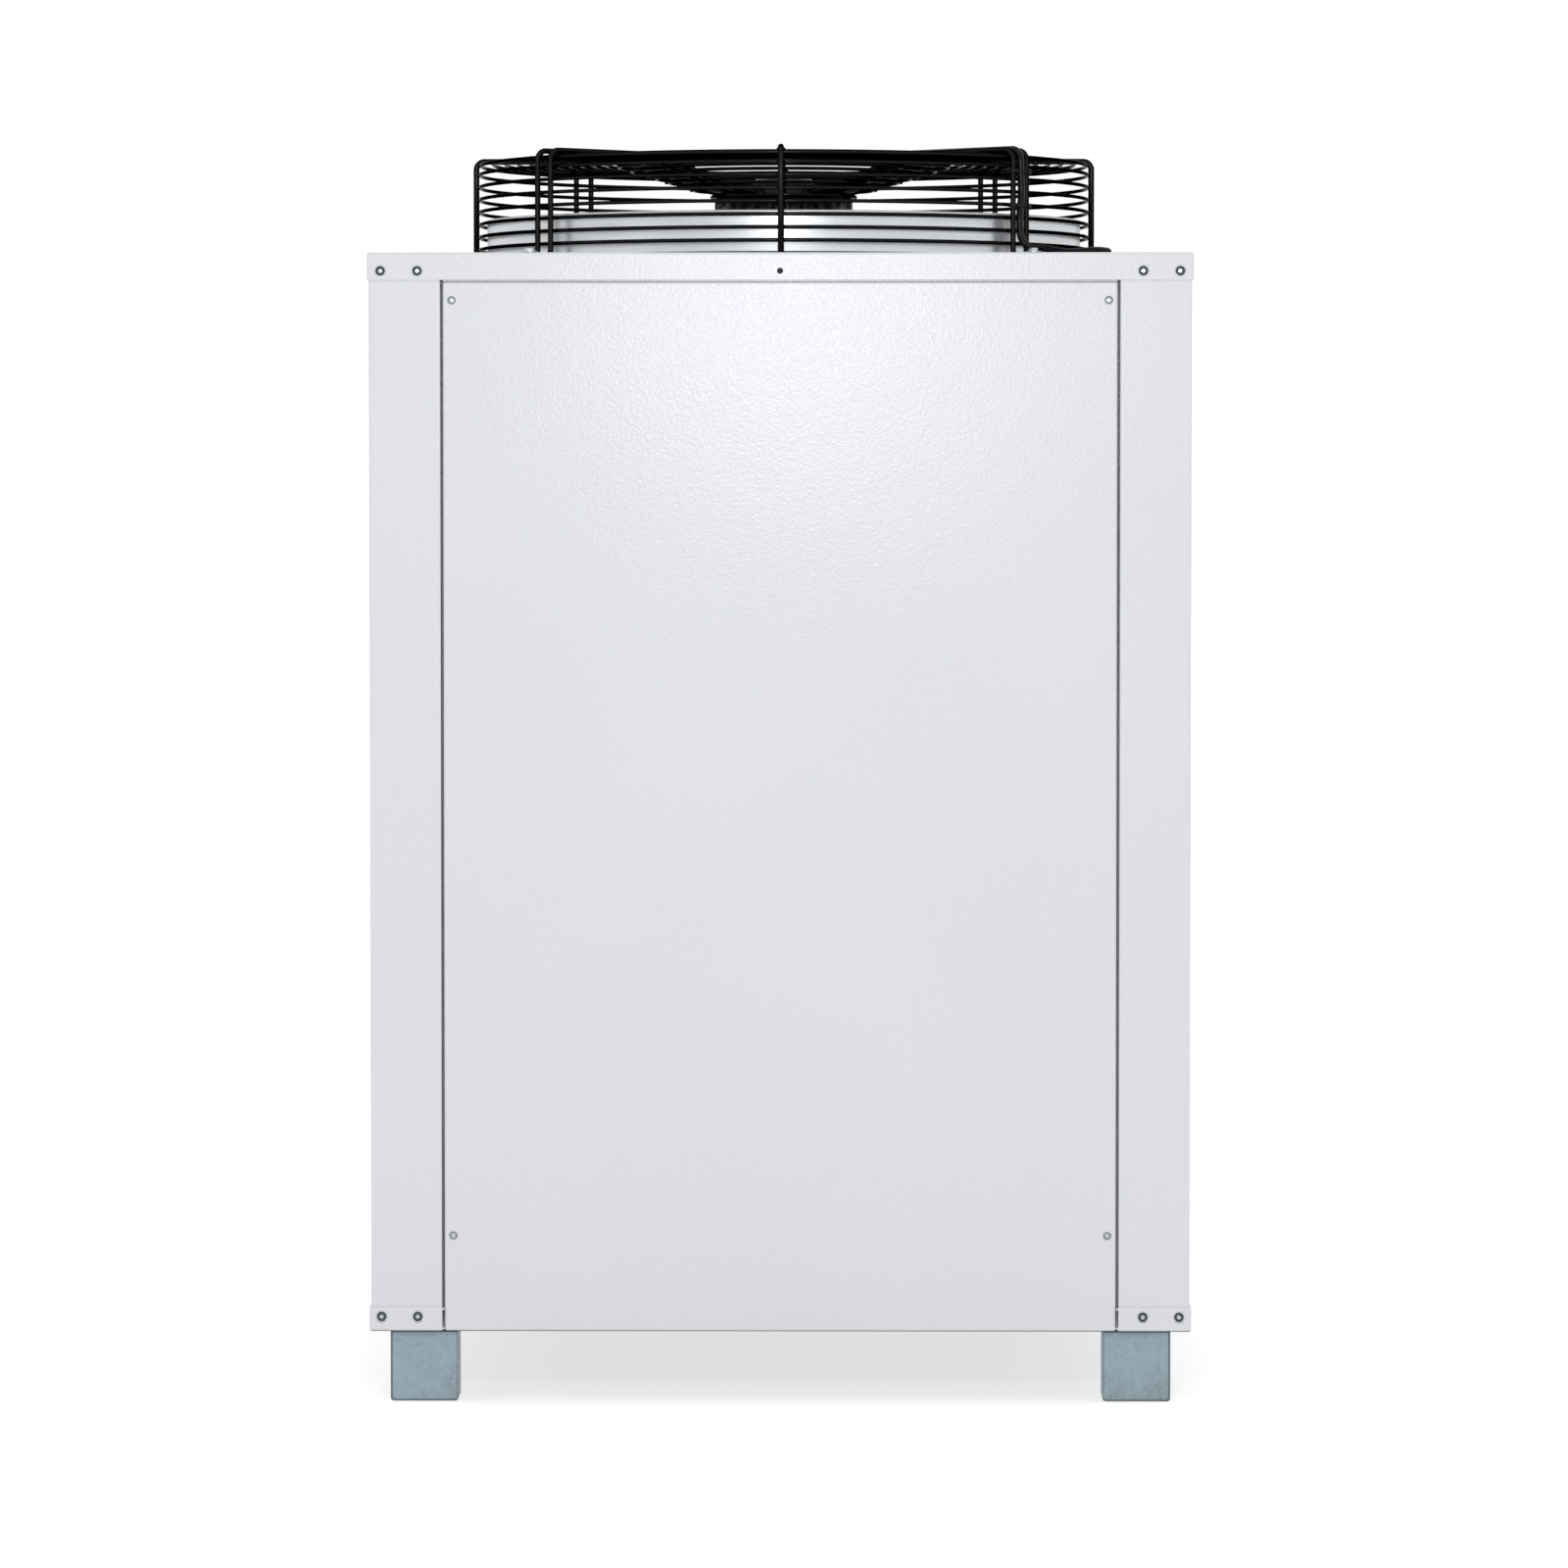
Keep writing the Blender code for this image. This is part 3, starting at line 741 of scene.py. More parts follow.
@effect("coat_grain", ("Place", "Colour", "Scale", "Tone", "Rough", "Rough Spread"))
def coat(tree, given):
    """A sprayed or stoved coat: cloudy tone, and a fine grain in its height and gloss."""
    place = given["Place"]
    cloud = noise(tree, place, 3.1, 4.0, 0.55)
    grain = noise(tree, place, given["Scale"], 2.0, 0.55)
    fine = noise(tree, place, maths(tree, "MULTIPLY", given["Scale"], 2.6), 1.0, 0.5)
    darker = maths(tree, "SUBTRACT", 1.0, given["Tone"])
    lighter = maths(tree, "ADD", 1.0, given["Tone"])
    value = spread(tree, cloud, darker, lighter, 0.30, 0.70)
    tint = put(tree, "ShaderNodeHueSaturation", {"Color": given["Colour"], "Value": value})
    height = total(tree, (grain, 0.7), (fine, 0.3))
    rough = swung(tree, given["Rough"], height, given["Rough Spread"])
    return tint.outputs[0], swung(tree, rough, cloud, 0.12), height


DUST_TAKES = ("Place", "Colour", "Other Colour", "Low", "High", "Amount")


@effect("settled_dust", DUST_TAKES, ("Colour", "Mask"))
def dust(tree, given):
    """Settled dust, thickest at a low edge and gone at a high one, in soft patches."""
    place = given["Place"]
    z = put(tree, "ShaderNodeSeparateXYZ", {0: place}).outputs[2]
    mask = spread(tree, z, 1.0, 0.0, given["Low"], given["High"])
    patch = spread(tree, noise(tree, place, 9.0, 5.0, 0.62), 0.0, 1.0, 0.38, 0.66)
    speck = spread(tree, noise(tree, place, 240.0, 2.0, 0.5), 0.4, 1.0, 0.40, 0.60)
    for factor in (patch, speck, given["Amount"]):
        mask = maths(tree, "MULTIPLY", mask, factor)
    return blend_colour(tree, mask, given["Colour"], given["Other Colour"]), mask


METAL_TAKES = ("Place", "Colour", "Other Colour", "Scale", "Rough", "Rough Spread")


@effect("zinc_spangle", METAL_TAKES)
def spangle(tree, given):
    """Zinc crystals: flat grains of slightly different tone, each with its own fine lines."""
    place = given["Place"]
    warp = put(tree, "ShaderNodeTexNoise", {"Vector": place, "Scale": 60.0, "Detail": 2.0})
    shift = vector_maths(tree, "MULTIPLY", warp.outputs[1], (0.012, 0.012, 0.012))
    bent = vector_maths(tree, "ADD", place, shift)
    cells = put(tree, "ShaderNodeTexVoronoi", {"Vector": bent, "Scale": given["Scale"]})
    pick = put(tree, "ShaderNodeSeparateColor", {0: cells.outputs[1]}).outputs
    lines = noise(tree, bent, maths(tree, "MULTIPLY", given["Scale"], 9.0), 3.0, 0.7)
    cloud = spread(tree, noise(tree, place, 16.0, 4.0, 0.6), 0.0, 1.0, 0.33, 0.67)
    share = total(tree, (pick[0], 0.50), (lines, 0.22), (cloud, 0.28))
    mixed = blend_colour(tree, share, given["Colour"], given["Other Colour"])
    rough = swung(tree, given["Rough"], pick[1], given["Rough Spread"])
    return mixed, rough, total(tree, (pick[2], 0.5), (lines, 0.5))


@effect("drawn_lines", METAL_TAKES)
def drawn(tree, given):
    """Rolled or drawn metal: long fine lines along one direction of the given place."""
    stretch = vector_maths(tree, "MULTIPLY", given["Place"], (0.02, 1.0, 1.0))
    lines = noise(tree, stretch, given["Scale"], 4.0, 0.65)
    cloud = noise(tree, given["Place"], 11.0, 4.0, 0.6)
    share = spread(tree, total(tree, (lines, 0.55), (cloud, 0.45)), 0.0, 1.0, 0.34, 0.66)
    mixed = blend_colour(tree, share, given["Colour"], given["Other Colour"])
    return mixed, swung(tree, given["Rough"], share, given["Rough Spread"]), lines


# ---------------------------------------------------------------- materials


def wound(tree, place):
    """A place unrolled from round the fan axis, so that drawn lines run round it."""
    axes = put(tree, "ShaderNodeSeparateXYZ", {0: place}).outputs
    round_it = maths(tree, "MULTIPLY", maths(tree, "ARCTAN2", axes[1], axes[0]), COLLAR_OUT)
    reach = put(tree, "ShaderNodeVectorMath", {0: place}, operation="LENGTH").outputs["Value"]
    wires = {0: round_it, 1: axes[2], 2: maths(tree, "MULTIPLY", reach, 0.1)}
    return put(tree, "ShaderNodeCombineXYZ", wires).outputs[0]


def use_effect(tree, group, wires):
    return put(tree, "ShaderNodeGroup", wires, node_tree=group).outputs


@dataclass
class Finish:
    """An effect's colour, roughness and bump on a surface, with settled dust where it has any.

    colours are the effect's colours, or a setting's name and a factor for each; grain is the
    effect's scale, roughness and roughness spread; bump is a strength and a distance; tone is
    how far a coat's tone swings; dusty is the dust's colour, lower and upper height and amount;
    lay lays out the place for the effect.
    """

    name: str
    slot: str
    effect: object
    colours: tuple
    grain: tuple
    bump: tuple = ()
    metallic: float = 0.0
    level: float = 0.5
    tint: float = 1.0
    tone: float = 0.25
    dusty: tuple = ()
    dust_rough: float = 0.0
    lay: object = None

    def material(self):
        """Keeps one material per finish."""
        return bpy.data.materials.get(self.name) or self.new_material()

    def new_material(self):
        made = bpy.data.materials.new(self.name)
        made.use_nodes = True
        tree = made.node_tree
        shader = tree.nodes["Principled BSDF"]
        place = tree.nodes.new("ShaderNodeTexCoord").outputs["Object"]
        colours = self.colours
        if isinstance(colours[0], str):
            plain = getattr(bpy.context.scene.chiller_finishes, colours[0])
            colours = [[part * factor for part in plain] for factor in colours[1:]]
        wires = {"Place": self.lay(tree, place) if self.lay else place}
        wires.update(zip(("Colour", "Other Colour"), [(*each, 1.0) for each in colours]))
        wires.update(zip(("Scale", "Rough", "Rough Spread"), self.grain))
        if self.effect is coat:
            wires["Tone"] = self.tone
        surface = use_effect(tree, self.effect(), wires)
        colour, rough = surface["Colour"], surface["Roughness"]
        if self.dusty:
            dust_colour, low, high, amount = self.dusty
            wires = {"Place": place, "Colour": colour, "Other Colour": (*dust_colour, 1.0)}
            wires.update({"Low": low, "High": high, "Amount": amount})
            settled = use_effect(tree, dust(), wires)
            colour = settled["Colour"]
        if self.dust_rough:
            more = maths(tree, "MULTIPLY", settled["Mask"], self.dust_rough)
            rough = maths(tree, "ADD", rough, more)
        tree.links.new(colour, shader.inputs["Base Color"])
        tree.links.new(rough, shader.inputs["Roughness"])
        shader.inputs["Metallic"].default_value = self.metallic
        shader.inputs["Specular IOR Level"].default_value = self.level
        shader.inputs["Specular Tint"].default_value = (self.tint, self.tint, self.tint, 1.0)
        if self.bump:
            strength, distance = self.bump
            wires = {"Strength": strength, "Distance": distance, "Height": surface["Height"]}
            bump = put(tree, "ShaderNodeBump", wires)
            tree.links.new(bump.outputs[0], shader.inputs["Normal"])
        return made


def zinc_plate(name, plain, rough):
    """Zinc plate on a screw or bolt, its crystals too small to see one by one."""
    colours = [[part * factor for part in plain] for factor in (1.12, 0.80)]
    grain = (900.0, rough, 0.16)
    return Finish(name, "galvanised_steel", spangle, colours, grain, (0.10, 0.0002), metallic=1.0)


def dusty_black(amount):
    """The trace of dust where air is drawn over a black coat."""
    return (0.10, 0.095, 0.085), ROOF_Z - 0.05, ROOF_Z + 0.15, amount


# off-white structured powder coat, a little dusty at its foot
PAINT = Finish(
    "cabinet_powder_coat", "cabinet_paint", coat, ("paint", 1.0), (285.0, 0.205, 0.10),
    (0.90, 0.00027), level=0.20, tone=0.010,
    dusty=((0.52, 0.50, 0.46), BASE_Z, BASE_Z + 0.22, 0.06), dust_rough=0.5,
)
# painted shade: powder coat darkened on the faces of a lower fold that turn downward
SHADE_UNDER_FOLDS = Finish(
    "grimed_under_fold", "cabinet_paint", coat, ((0.09, 0.092, 0.095),), (330.0, 0.60, 0.20),
    (0.40, 0.0003), tone=0.10,
)
# hot-dip zinc with a small spangle, mottled and dull
SPANGLED = Finish(
    "spangled_zinc_sheet", "galvanised_steel", spangle, ("galvanised", 1.10, 0.87),
    (210.0, 0.42, 0.16), (0.18, 0.0003), metallic=0.75,
    dusty=((0.10, 0.10, 0.095), 0.0, 0.05, 0.55),
)
# painted shade: zinc darkened on the feet's outer folds, standing in for the dark surroundings they
# reflect
FOOT_FOLD_PAINTED_SHADE = Finish(
    "darkened_zinc_folds", "galvanised_steel", spangle, ("galvanised", 0.60, 0.38),
    (420.0, 0.50, 0.16), (0.25, 0.0003), metallic=0.60,
)
# bright rolled sheet, its lines running round the fan
COLLAR_BRIGHT = Finish(
    "bright_collar_sheet", "collar_sheet", drawn, ("collar", 1.06, 0.90), (380.0, 0.32, 0.10),
    (0.12, 0.0003), metallic=0.60, lay=wound,
)
# glossy black dip coat; the black tint keeps its grazing edges black
WIRE_BLACK = Finish(
    "guard_wire_coat", "black_wire", coat, ("wire", 1.0), (260.0, 0.21, 0.06),
    (0.10, 0.0003), metallic=1.0, tint=0.0,
)
# satin black on the hub and blades
FAN_BLACK = Finish(
    "fan_coat", "fan_black", coat, ("fan", 1.0), (380.0, 0.42, 0.16), (0.22, 0.0003),
    dusty=dusty_black(0.30),
)
# black paint over a rough casting
MOTOR_BLACK = Finish(
    "motor_coat", "motor_black", coat, ((0.010, 0.010, 0.011),), (300.0, 0.30, 0.30),
    (0.65, 0.0006), level=0.45, dusty=dusty_black(0.10),
)
# dull black cable sheath, gland and grommet
RUBBER = Finish(
    "soft_black_rubber", "black_rubber", coat, ((0.0045, 0.0045, 0.0048),), (520.0, 0.28, 0.12),
    (0.16, 0.0003), level=0.17, dusty=dusty_black(0.04),
)
# thin aluminium fins with slight differences from fin to fin
FINS = Finish(
    "coil_fin_sheet", "coil_fins", drawn, ((0.74, 0.76, 0.78), (0.50, 0.52, 0.54)),
    (300.0, 0.34, 0.16), (0.10, 0.0003), metallic=0.85,
)
# copper coil tube, browned by heat
COPPER = Finish(
    "coil_tube_copper", "coil_fins", drawn, ((0.62, 0.30, 0.17), (0.28, 0.13, 0.08)),
    (160.0, 0.36, 0.20), metallic=1.0,
)
# turned brass, with fine tool lines and some tarnish
BRASS = Finish(
    "socket_brass", "brass", drawn, ((0.68, 0.50, 0.22), (0.42, 0.29, 0.12)),
    (900.0, 0.30, 0.18), (0.10, 0.0002), metallic=1.0,
)
# bright faces of screws and bolts, and a darker painted shade on their flanks, standing in for the
# dark reflections round them
BRIGHT_ZINC = zinc_plate("zinc_plated_screws", (0.57, 0.61, 0.64), 0.26)
FRAME_FLANK_PAINTED_SHADE = zinc_plate("dulled_screw_flank", (0.070, 0.080, 0.086), 0.38)
PANEL_FLANK_PAINTED_SHADE = zinc_plate("panel_screw_flank", (0.290, 0.310, 0.325), 0.34)


# ---------------------------------------------------------------- cabinet


def corner_spots(insets, z):
    """(turns, x, z) of the screws near both corners of each side."""
    spots = []
    for turns in range(4):
        for inset in insets:
            for side in (-1, 1):
                spots.append((turns, side * (HALF - inset), z))
    return spots


# screws and their pressed seats
CAP_SPOTS = corner_spots((0.0137, 0.0516), ROOF_Z - 0.0190)
BASE_SPOTS = corner_spots((0.0126, 0.0500), BASE_Z + 0.0152)
PANEL_SCREW_IN = 0.0090
PANEL_SCREW_DOWN = 0.0192
PANEL_SCREW_UP = 0.0995
PANEL_SCREW_H = 0.00165
DIMPLE_R = 0.0062
DIMPLE_DEEP = 0.00148
# a dimple's upper face, from its middle outward, as shares of its radius and depth
DIMPLE_LINE = ((0.0, 1.0), (0.82, 1.0), (0.93, 0.75), (1.03, 0.25), (1.08, 0.5))
# the cap hole's dark plug: (radius, height)
PLUG_LINE = (
    (0.0, -0.0040), (0.0042, -0.0040), (0.0042, -0.0017), (CAP_HOLE_R, -0.0016),
    (CAP_HOLE_R, -0.0003), (CAP_HOLE_R - 0.0004, -0.0001), (0.0008, -0.0001), (0.0, -0.0006),
)

# tabs, folds, fins and tubes
TAB_HALF = 0.0009
UNDER = -0.55  # a face whose normal points lower than this gets the painted shade
FIN_T = 0.00010
FIN_WAVE = 0.00035
FIN_WAVES = 6
FIN_LEAN = 0.00022
FINS_IN = 0.0005
TUBE_R = 0.00475
TUBE_IN = 0.0110
TUBE_UP = 0.012
TUBE_DOWN = 0.010
TUBE_SHORT = 0.0006
FOLD_FACE = 0.985  # a face with every part of its normal below this belongs to a fold

# (packed node, side, way in) of the panels, and (packed node, radius) of what goes through one
PANELS = (
    ("front_panel", FRONT, (0, 1, 0)),
    ("back_panel", BACK, (0, -1, 0)),
    ("side_panel_left", LEFT, (1, 0, 0)),
    ("side_panel_right", RIGHT, (-1, 0, 0)),
)
BACK_HOLES = (("water_inlet", SOCKET_R), ("water_outlet", SOCKET_R), ("mains_grommet", GROMMET_R))


def dimpled(obj, spots):
    """Presses seats into a sheet's upright faces that let its screw heads sit flush."""
    holes = bmesh.new()
    for turns, x, z in spots:
        add_drum(holes, DIMPLE_R, -0.004, 0.004, WASHER_STEPS, on_side(turns, x, HALF, z))
    cut(obj, holes)
    under = DIMPLE_DEEP + 0.0003
    profile = [(DIMPLE_R * wide, -DIMPLE_DEEP * deep) for wide, deep in DIMPLE_LINE]
    profile += [(DIMPLE_R * 0.98, -under), (0.0, -under)]
    shape = bmesh.new()
    shape.from_mesh(obj.data)
    for turns, x, z in spots:
        add_lathe(shape, profile, WASHER_STEPS, on_side(turns, x, HALF, z))
    shape.to_mesh(obj.data)
    shape.free()


def paint_shade_below(obj):
    """Gives the part of a sheet's lower folds that faces down a darker finish, a painted shade."""
    obj.data.materials.append(SHADE_UNDER_FOLDS.material())
    for face in obj.data.polygons:
        if face.normal.z < UNDER:
            face.material_index = 1


def post_outline():
    """A post's section: faces, returns beside the panels and flanges behind them, in one sheet."""
    end = POST_IN - POST_FLANGE
    path = [(end, REBATE), (POST_IN, REBATE), (POST_IN, POST_OUT), (POST_OUT, POST_OUT)]
    path += [(POST_OUT, POST_IN), (REBATE, POST_IN), (REBATE, end)]
    line = rounded(beside([Vector(place) for place in path], SHEET / 2), 0.0017)
    return beside(line, -SHEET / 2) + beside(line, SHEET / 2)[::-1]


def gap_fillers(shape):
    """Small tabs of the base lips beside the panels, and the strips behind the gaps over them."""
    for turns in range(4):
        for side in (-1, 1):
            for z in (LIP_TOP - 0.0021, BASE_Z + 0.0030):
                xs = sorted((side * (PANEL_HALF + 0.0004), side * (POST_IN + 0.0016)))
                low = (xs[0], POST_OUT - 0.0040, z - TAB_HALF)
                high = (xs[1], POST_OUT + 0.0002, z + TAB_HALF)
                add_block(shape, low, high, turned(turns))
    low = (-PANEL_HALF, POST_OUT - 0.0070, PANEL_TOP + 0.0001)
    high = (PANEL_HALF, POST_OUT - 0.0021, CAP_LOW - 0.0001)
    for turns in (BACK, FRONT):
        add_block(shape, low, high, turned(turns))


def add_fins(shape, turns):
    """The wavy fins of one coil, made for the back and turned."""
    low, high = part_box("coil_left")
    half, near, far = high.y, -high.x, -low.x
    chance = random.Random(17 + turns)
    pitch = 2 * (half - FINS_IN) / round((2 * half) / bpy.context.scene.chiller_coils.fin_pitch)
    deep = [near + (far - near) * j / FIN_WAVES for j in range(FIN_WAVES + 1)]
    x = -half + FINS_IN + pitch / 2
    while x < half - FINS_IN:
        middle = [x + (FIN_WAVE if j % 2 else -FIN_WAVE) for j in range(FIN_WAVES + 1)]
        middle[-1] += chance.uniform(-FIN_LEAN, FIN_LEAN)
        face = [(place - FIN_T, y) for place, y in zip(middle, deep)]
        other = [(place + FIN_T, y) for place, y in zip(middle, deep)]
        add_strip(shape, face + other[::-1], low.z, high.z, turned(turns))
        x += pitch


def add_tubes(shape, turns):
    """The copper tubes through the fins, in two staggered rows."""
    pitch = bpy.context.scene.chiller_coils.tube_pitch
    low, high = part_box("coil_left")
    half, near, far = high.y, -high.x, -low.x
    for row, deep in enumerate((far - TUBE_IN, near + TUBE_IN)):
        z = low.z + TUBE_UP + row * pitch / 2
        while z < high.z - TUBE_DOWN:
            ends = [Vector((side * (half - TUBE_SHORT), deep, z)) for side in (-1, 1)]
            ends = [turned(turns) @ end for end in ends]
            add_wire(shape, ends, TUBE_R, CABLE_SIDES)
            z += pitch


class BuildSheets(bpy.types.Operator):
    """Folds the roof cap, corner posts, base and panels"""

    bl_idname = "chiller.build_sheets"
    bl_label = "Cabinet sheets"

    def execute(self, context):
        roof = folded_sheet("roof_sheet", *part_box("roof_tray"), (0, 0, -1))
        small_hole = on_side(FRONT, 0.0, HALF, ROOF_Z - CAP_HOLE_DOWN)
        holes = bmesh.new()
        add_drum(holes, COLLAR_OUT + SEAT, ROOF_Z - 0.01, ROOF_Z + 0.01, OPENING_STEPS)
        add_drum(holes, CAP_HOLE_R, -0.01, 0.01, HOLE_STEPS, small_hole)
        dimpled(cut(roof, holes), CAP_SPOTS)
        sheet_piece(roof, PAINT, "roof_tray")
        plug = bmesh.new()
        add_lathe(plug, PLUG_LINE, HOLE_STEPS, small_hole)
        piece("cap_hole_plug", plug, RUBBER)

        low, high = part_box("post_br")
        for turns, side in enumerate(("br", "bl", "fl", "fr")):
            shape = bmesh.new()
            add_strip(shape, post_outline(), low.z, high.z, turned(turns))
            sheet_piece(link("post_sheet_" + side, shape), PAINT, "post_" + side)

        low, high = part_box("base_tray")
        base = folded_sheet("base_sheet", low, high, (0, 0, 1))
        for turns in range(4):
            notch = bmesh.new()
            corner = (-POST_IN, REBATE, low.z - 0.02)
            add_block(notch, corner, (POST_IN, HALF + 0.02, high.z + 0.02), turned(turns))
            cut(base, notch)
        dimpled(base, BASE_SPOTS)
        paint_shade_below(sheet_piece(base, PAINT, "base_tray"))
        fillers = bmesh.new()
        gap_fillers(fillers)
        piece("gap_tabs", fillers, PAINT)

        for node, turns, inward in PANELS:
            panel = folded_sheet(node + "_sheet", *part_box(node), inward)
            if turns == BACK:
                holes = bmesh.new()
                for name, radius in BACK_HOLES:
                    spot = on_side(BACK, SOCKET_X, HALF, mid(name, Z_AXIS))
                    add_drum(holes, radius + SEAT, -0.05, 0.01, GROMMET_STEPS, spot)
                cut(panel, holes)
            paint_shade_below(sheet_piece(panel, PAINT, node))
        return {"FINISHED"}


class BuildFeet(bpy.types.Operator):
    """Folds the four galvanised feet"""

    bl_idname = "chiller.build_feet"
    bl_label = "Feet"

    def execute(self, context):
        for side in ("fl", "fr", "bl", "br"):
            name = "foot_" + side
            inward = (0, 1, 0) if side[0] == "f" else (0, -1, 0)
            foot = folded_sheet(name + "_sheet", *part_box(name), inward, FOOT_SHEET, FOOT_BEND)
            sheet_piece(foot, SPANGLED, name)
            foot.data.materials.append(FOOT_FOLD_PAINTED_SHADE.material())
            # painted shade on the outer folds; folds turned towards the middle keep the plain zinc,
            # where the key light glints
            outer = -1.0 if side[1] == "l" else 1.0
            for face in foot.data.polygons:
                folded = max(abs(part) for part in face.normal) < FOLD_FACE
                inner = face.normal.x * outer < -0.1 and abs(face.normal.z) < 0.2
                if folded and not inner:
                    face.material_index = 1
        return {"FINISHED"}


class BuildScrews(bpy.types.Operator):
    """Sets the zinc-plated screws in the cap, the base and the panels"""

    bl_idname = "chiller.build_screws"
    bl_label = "Cabinet screws"

    def execute(self, context):
        settings = context.scene.chiller_sheets
        chance = random.Random(5)
        flush = pan_head(settings.head_radius, DIMPLE_DEEP - 0.00006)
        shape = bmesh.new()
        for turns, x, z in CAP_SPOTS + BASE_SPOTS:
            spin = chance.uniform(0, math.tau)
            stamp(shape, flush, on_side(turns, x, HALF - DIMPLE_DEEP, z, spin))
        screws = piece("frame_screws", shape, BRIGHT_ZINC, angle=20.0)
        # painted shade on the screw flanks
        screws.data.materials.append(FRAME_FLANK_PAINTED_SHADE.material())

        proud = pan_head(settings.panel_head_radius, PANEL_SCREW_H)
        shape = bmesh.new()
        for turns in range(4):
            top = PANEL_TOP if turns in (BACK, FRONT) else SIDE_PANEL_TOP
            for side in (-1, 1):
                x = side * (PANEL_HALF - PANEL_SCREW_IN)
                for z in (top - PANEL_SCREW_DOWN, BASE_Z + PANEL_SCREW_UP):
                    spin = chance.uniform(0, math.tau)
                    stamp(shape, proud, on_side(turns, x, POST_OUT, z, spin))
        screws = piece("panel_screws", shape, BRIGHT_ZINC, angle=20.0)
        # painted shade on the screw flanks
        screws.data.materials.append(PANEL_FLANK_PAINTED_SHADE.material())
        return {"FINISHED"}


class BuildCoils(bpy.types.Operator):
    """Stacks the fins and tubes of both side coils, and finishes the carried sheets"""

    bl_idname = "chiller.build_coils"
    bl_label = "Coils"

    def execute(self, context):
        for turns, side in ((LEFT, "left"), (RIGHT, "right")):
            fins = bmesh.new()
            add_fins(fins, turns)
            piece("coil_fins_" + side, fins, FINS, "coil_" + side, angle=20.0)
            tubes = bmesh.new()
            add_tubes(tubes, turns)
            piece("coil_tubes_" + side, tubes, COPPER)
        for node in ("deck", "coil_frame_left", "coil_frame_right"):
            mesh = frame["nodes"][node].data
            mesh.materials.clear()
            mesh.materials.append(SPANGLED.material())
        return {"FINISHED"}


# ---------------------------------------------------------------- fan section

# how many there are and the radius of their circle
RIVETS, RIVET_CIRCLE = 12, 0.3445
MOTOR_BOLTS, MOTOR_BOLT_CIRCLE = 8, 0.064
BOSSES, BOSS_CIRCLE = 3, 0.0285
SOCKET_SCREWS, SOCKET_SCREW_CIRCLE = 3, 0.0228
PLATE_WELDS = (0.055, 0.070)
PLATE_WELD = (0.0048, 0.0048, 0.00192)
BLADE_BOLTS = (0.024, 0.044)

# collar rivets as (radius, height), and the seam where the collar's sheet meets
RIVET_LINE = (
    (0.0, 0.0), (0.0040, 0.0), (0.0040, 0.0003), (0.0034, 0.0010), (0.0020, 0.0014),
    (0.0011, 0.0014), (0.0010, 0.0008), (0.0, 0.0008),
)
SEAM_TURN = math.radians(97)
SEAM_STEP = 0.0115
SEAM_T = 0.0012
SEAM_RIVET = (0.0026, 0.0026, 0.00234)

# welds and bends of the guard's wires, and the bolts of its struts
RIB_WELD = (0.0023, 0.00483, 0.0023)
STRUT_WELD = (0.00162, 0.00342, 0.00162)
EASE = 0.016
BOLT_R = 0.0030
BOLT_WASHER = 0.0094

# the ties that hold the cable against its strut
TIE_SINK = 0.0014
TIE_STEPS = 28
TIE_WIDE, TIE_THICK = STRUT_HALF + STRUT_R + 0.0012, CABLE_R + 0.0022
TIE_SQUARE = 0.6  # below 1 gives the loop rounded corners
TIE_BAND = (-0.0009, 0.0, 0.0009)
TIE_R = 0.0007
TIE_LOCK = ((-0.0026, -0.0022, -0.0012), (0.0026, 0.0022, 0.0016))

# outlines of the cable gland and of a screw boss: (radius, height)
GLAND_LINE = (
    (CABLE_R, 0.0020), (0.0073, 0.0020), (0.0074, 0.0028), (0.0066, 0.0035), (0.0050, 0.0039),
    (CABLE_R + 0.0003, GLAND_H),
)
BOSS_LINE = ((0.0, 0.0), (0.0030, 0.0), (0.0030, 0.0018), (0.0024, 0.0023), (0.0, 0.0023))


def rib_line(out):
    """Half a guard section as (radius, height), moved out of the basket by out."""
    shift = out * math.tan(DISH_SLOPE / 2)
    line = [(DISH_START - shift, DISH_FLOOR + out), (DISH_OUTER - shift, RIB_TOP + out)]
    return line + arc((RIB_LINE - RIB_BEND, RIB_TOP - RIB_BEND), RIB_BEND + out, 90, 0, 8)


def spoke(line, turn, aside=0.0):
    """(radius, height) points placed on a plane through the fan axis, or beside it."""
    along = Vector((math.cos(turn), math.sin(turn)))
    across = Vector((-along.y, along.x)) * aside
    return [Vector((*(along * radius + across), ROOF_Z + height)) for radius, height in line]


def ring_places():
    """(radius, height) of each ring wire: up the side, in the corner, then over into the dish."""
    side = RIB_LINE - RING_DROP
    corner = (RIB_BEND - RING_DROP) * math.sqrt(0.5) - RIB_BEND
    rings = []
    height = RING_FIRST
    while height < RIB_TOP - RIB_BEND:
        rings.append((side, height))
        height += RING_PITCH
    rings.append((RIB_LINE + corner, RIB_TOP + corner))
    radius = RIB_LINE + corner - RING_PITCH
    while radius > DISH_OUTER:
        rings.append((radius, RIB_TOP - RING_DROP))
        radius -= RING_PITCH
    while radius > DISH_START + RING_PITCH:
        drop = (DISH_OUTER - radius) * math.tan(DISH_SLOPE)
        rings.append((radius, RIB_TOP - drop - RING_DROP / math.cos(DISH_SLOPE)))
        radius -= RING_PITCH
    return rings


def strut_offset(radius):
    """How far a wire of this radius stands out of the rib line when it lies on the rings."""
    return RING_R + SEAT + radius - RING_DROP


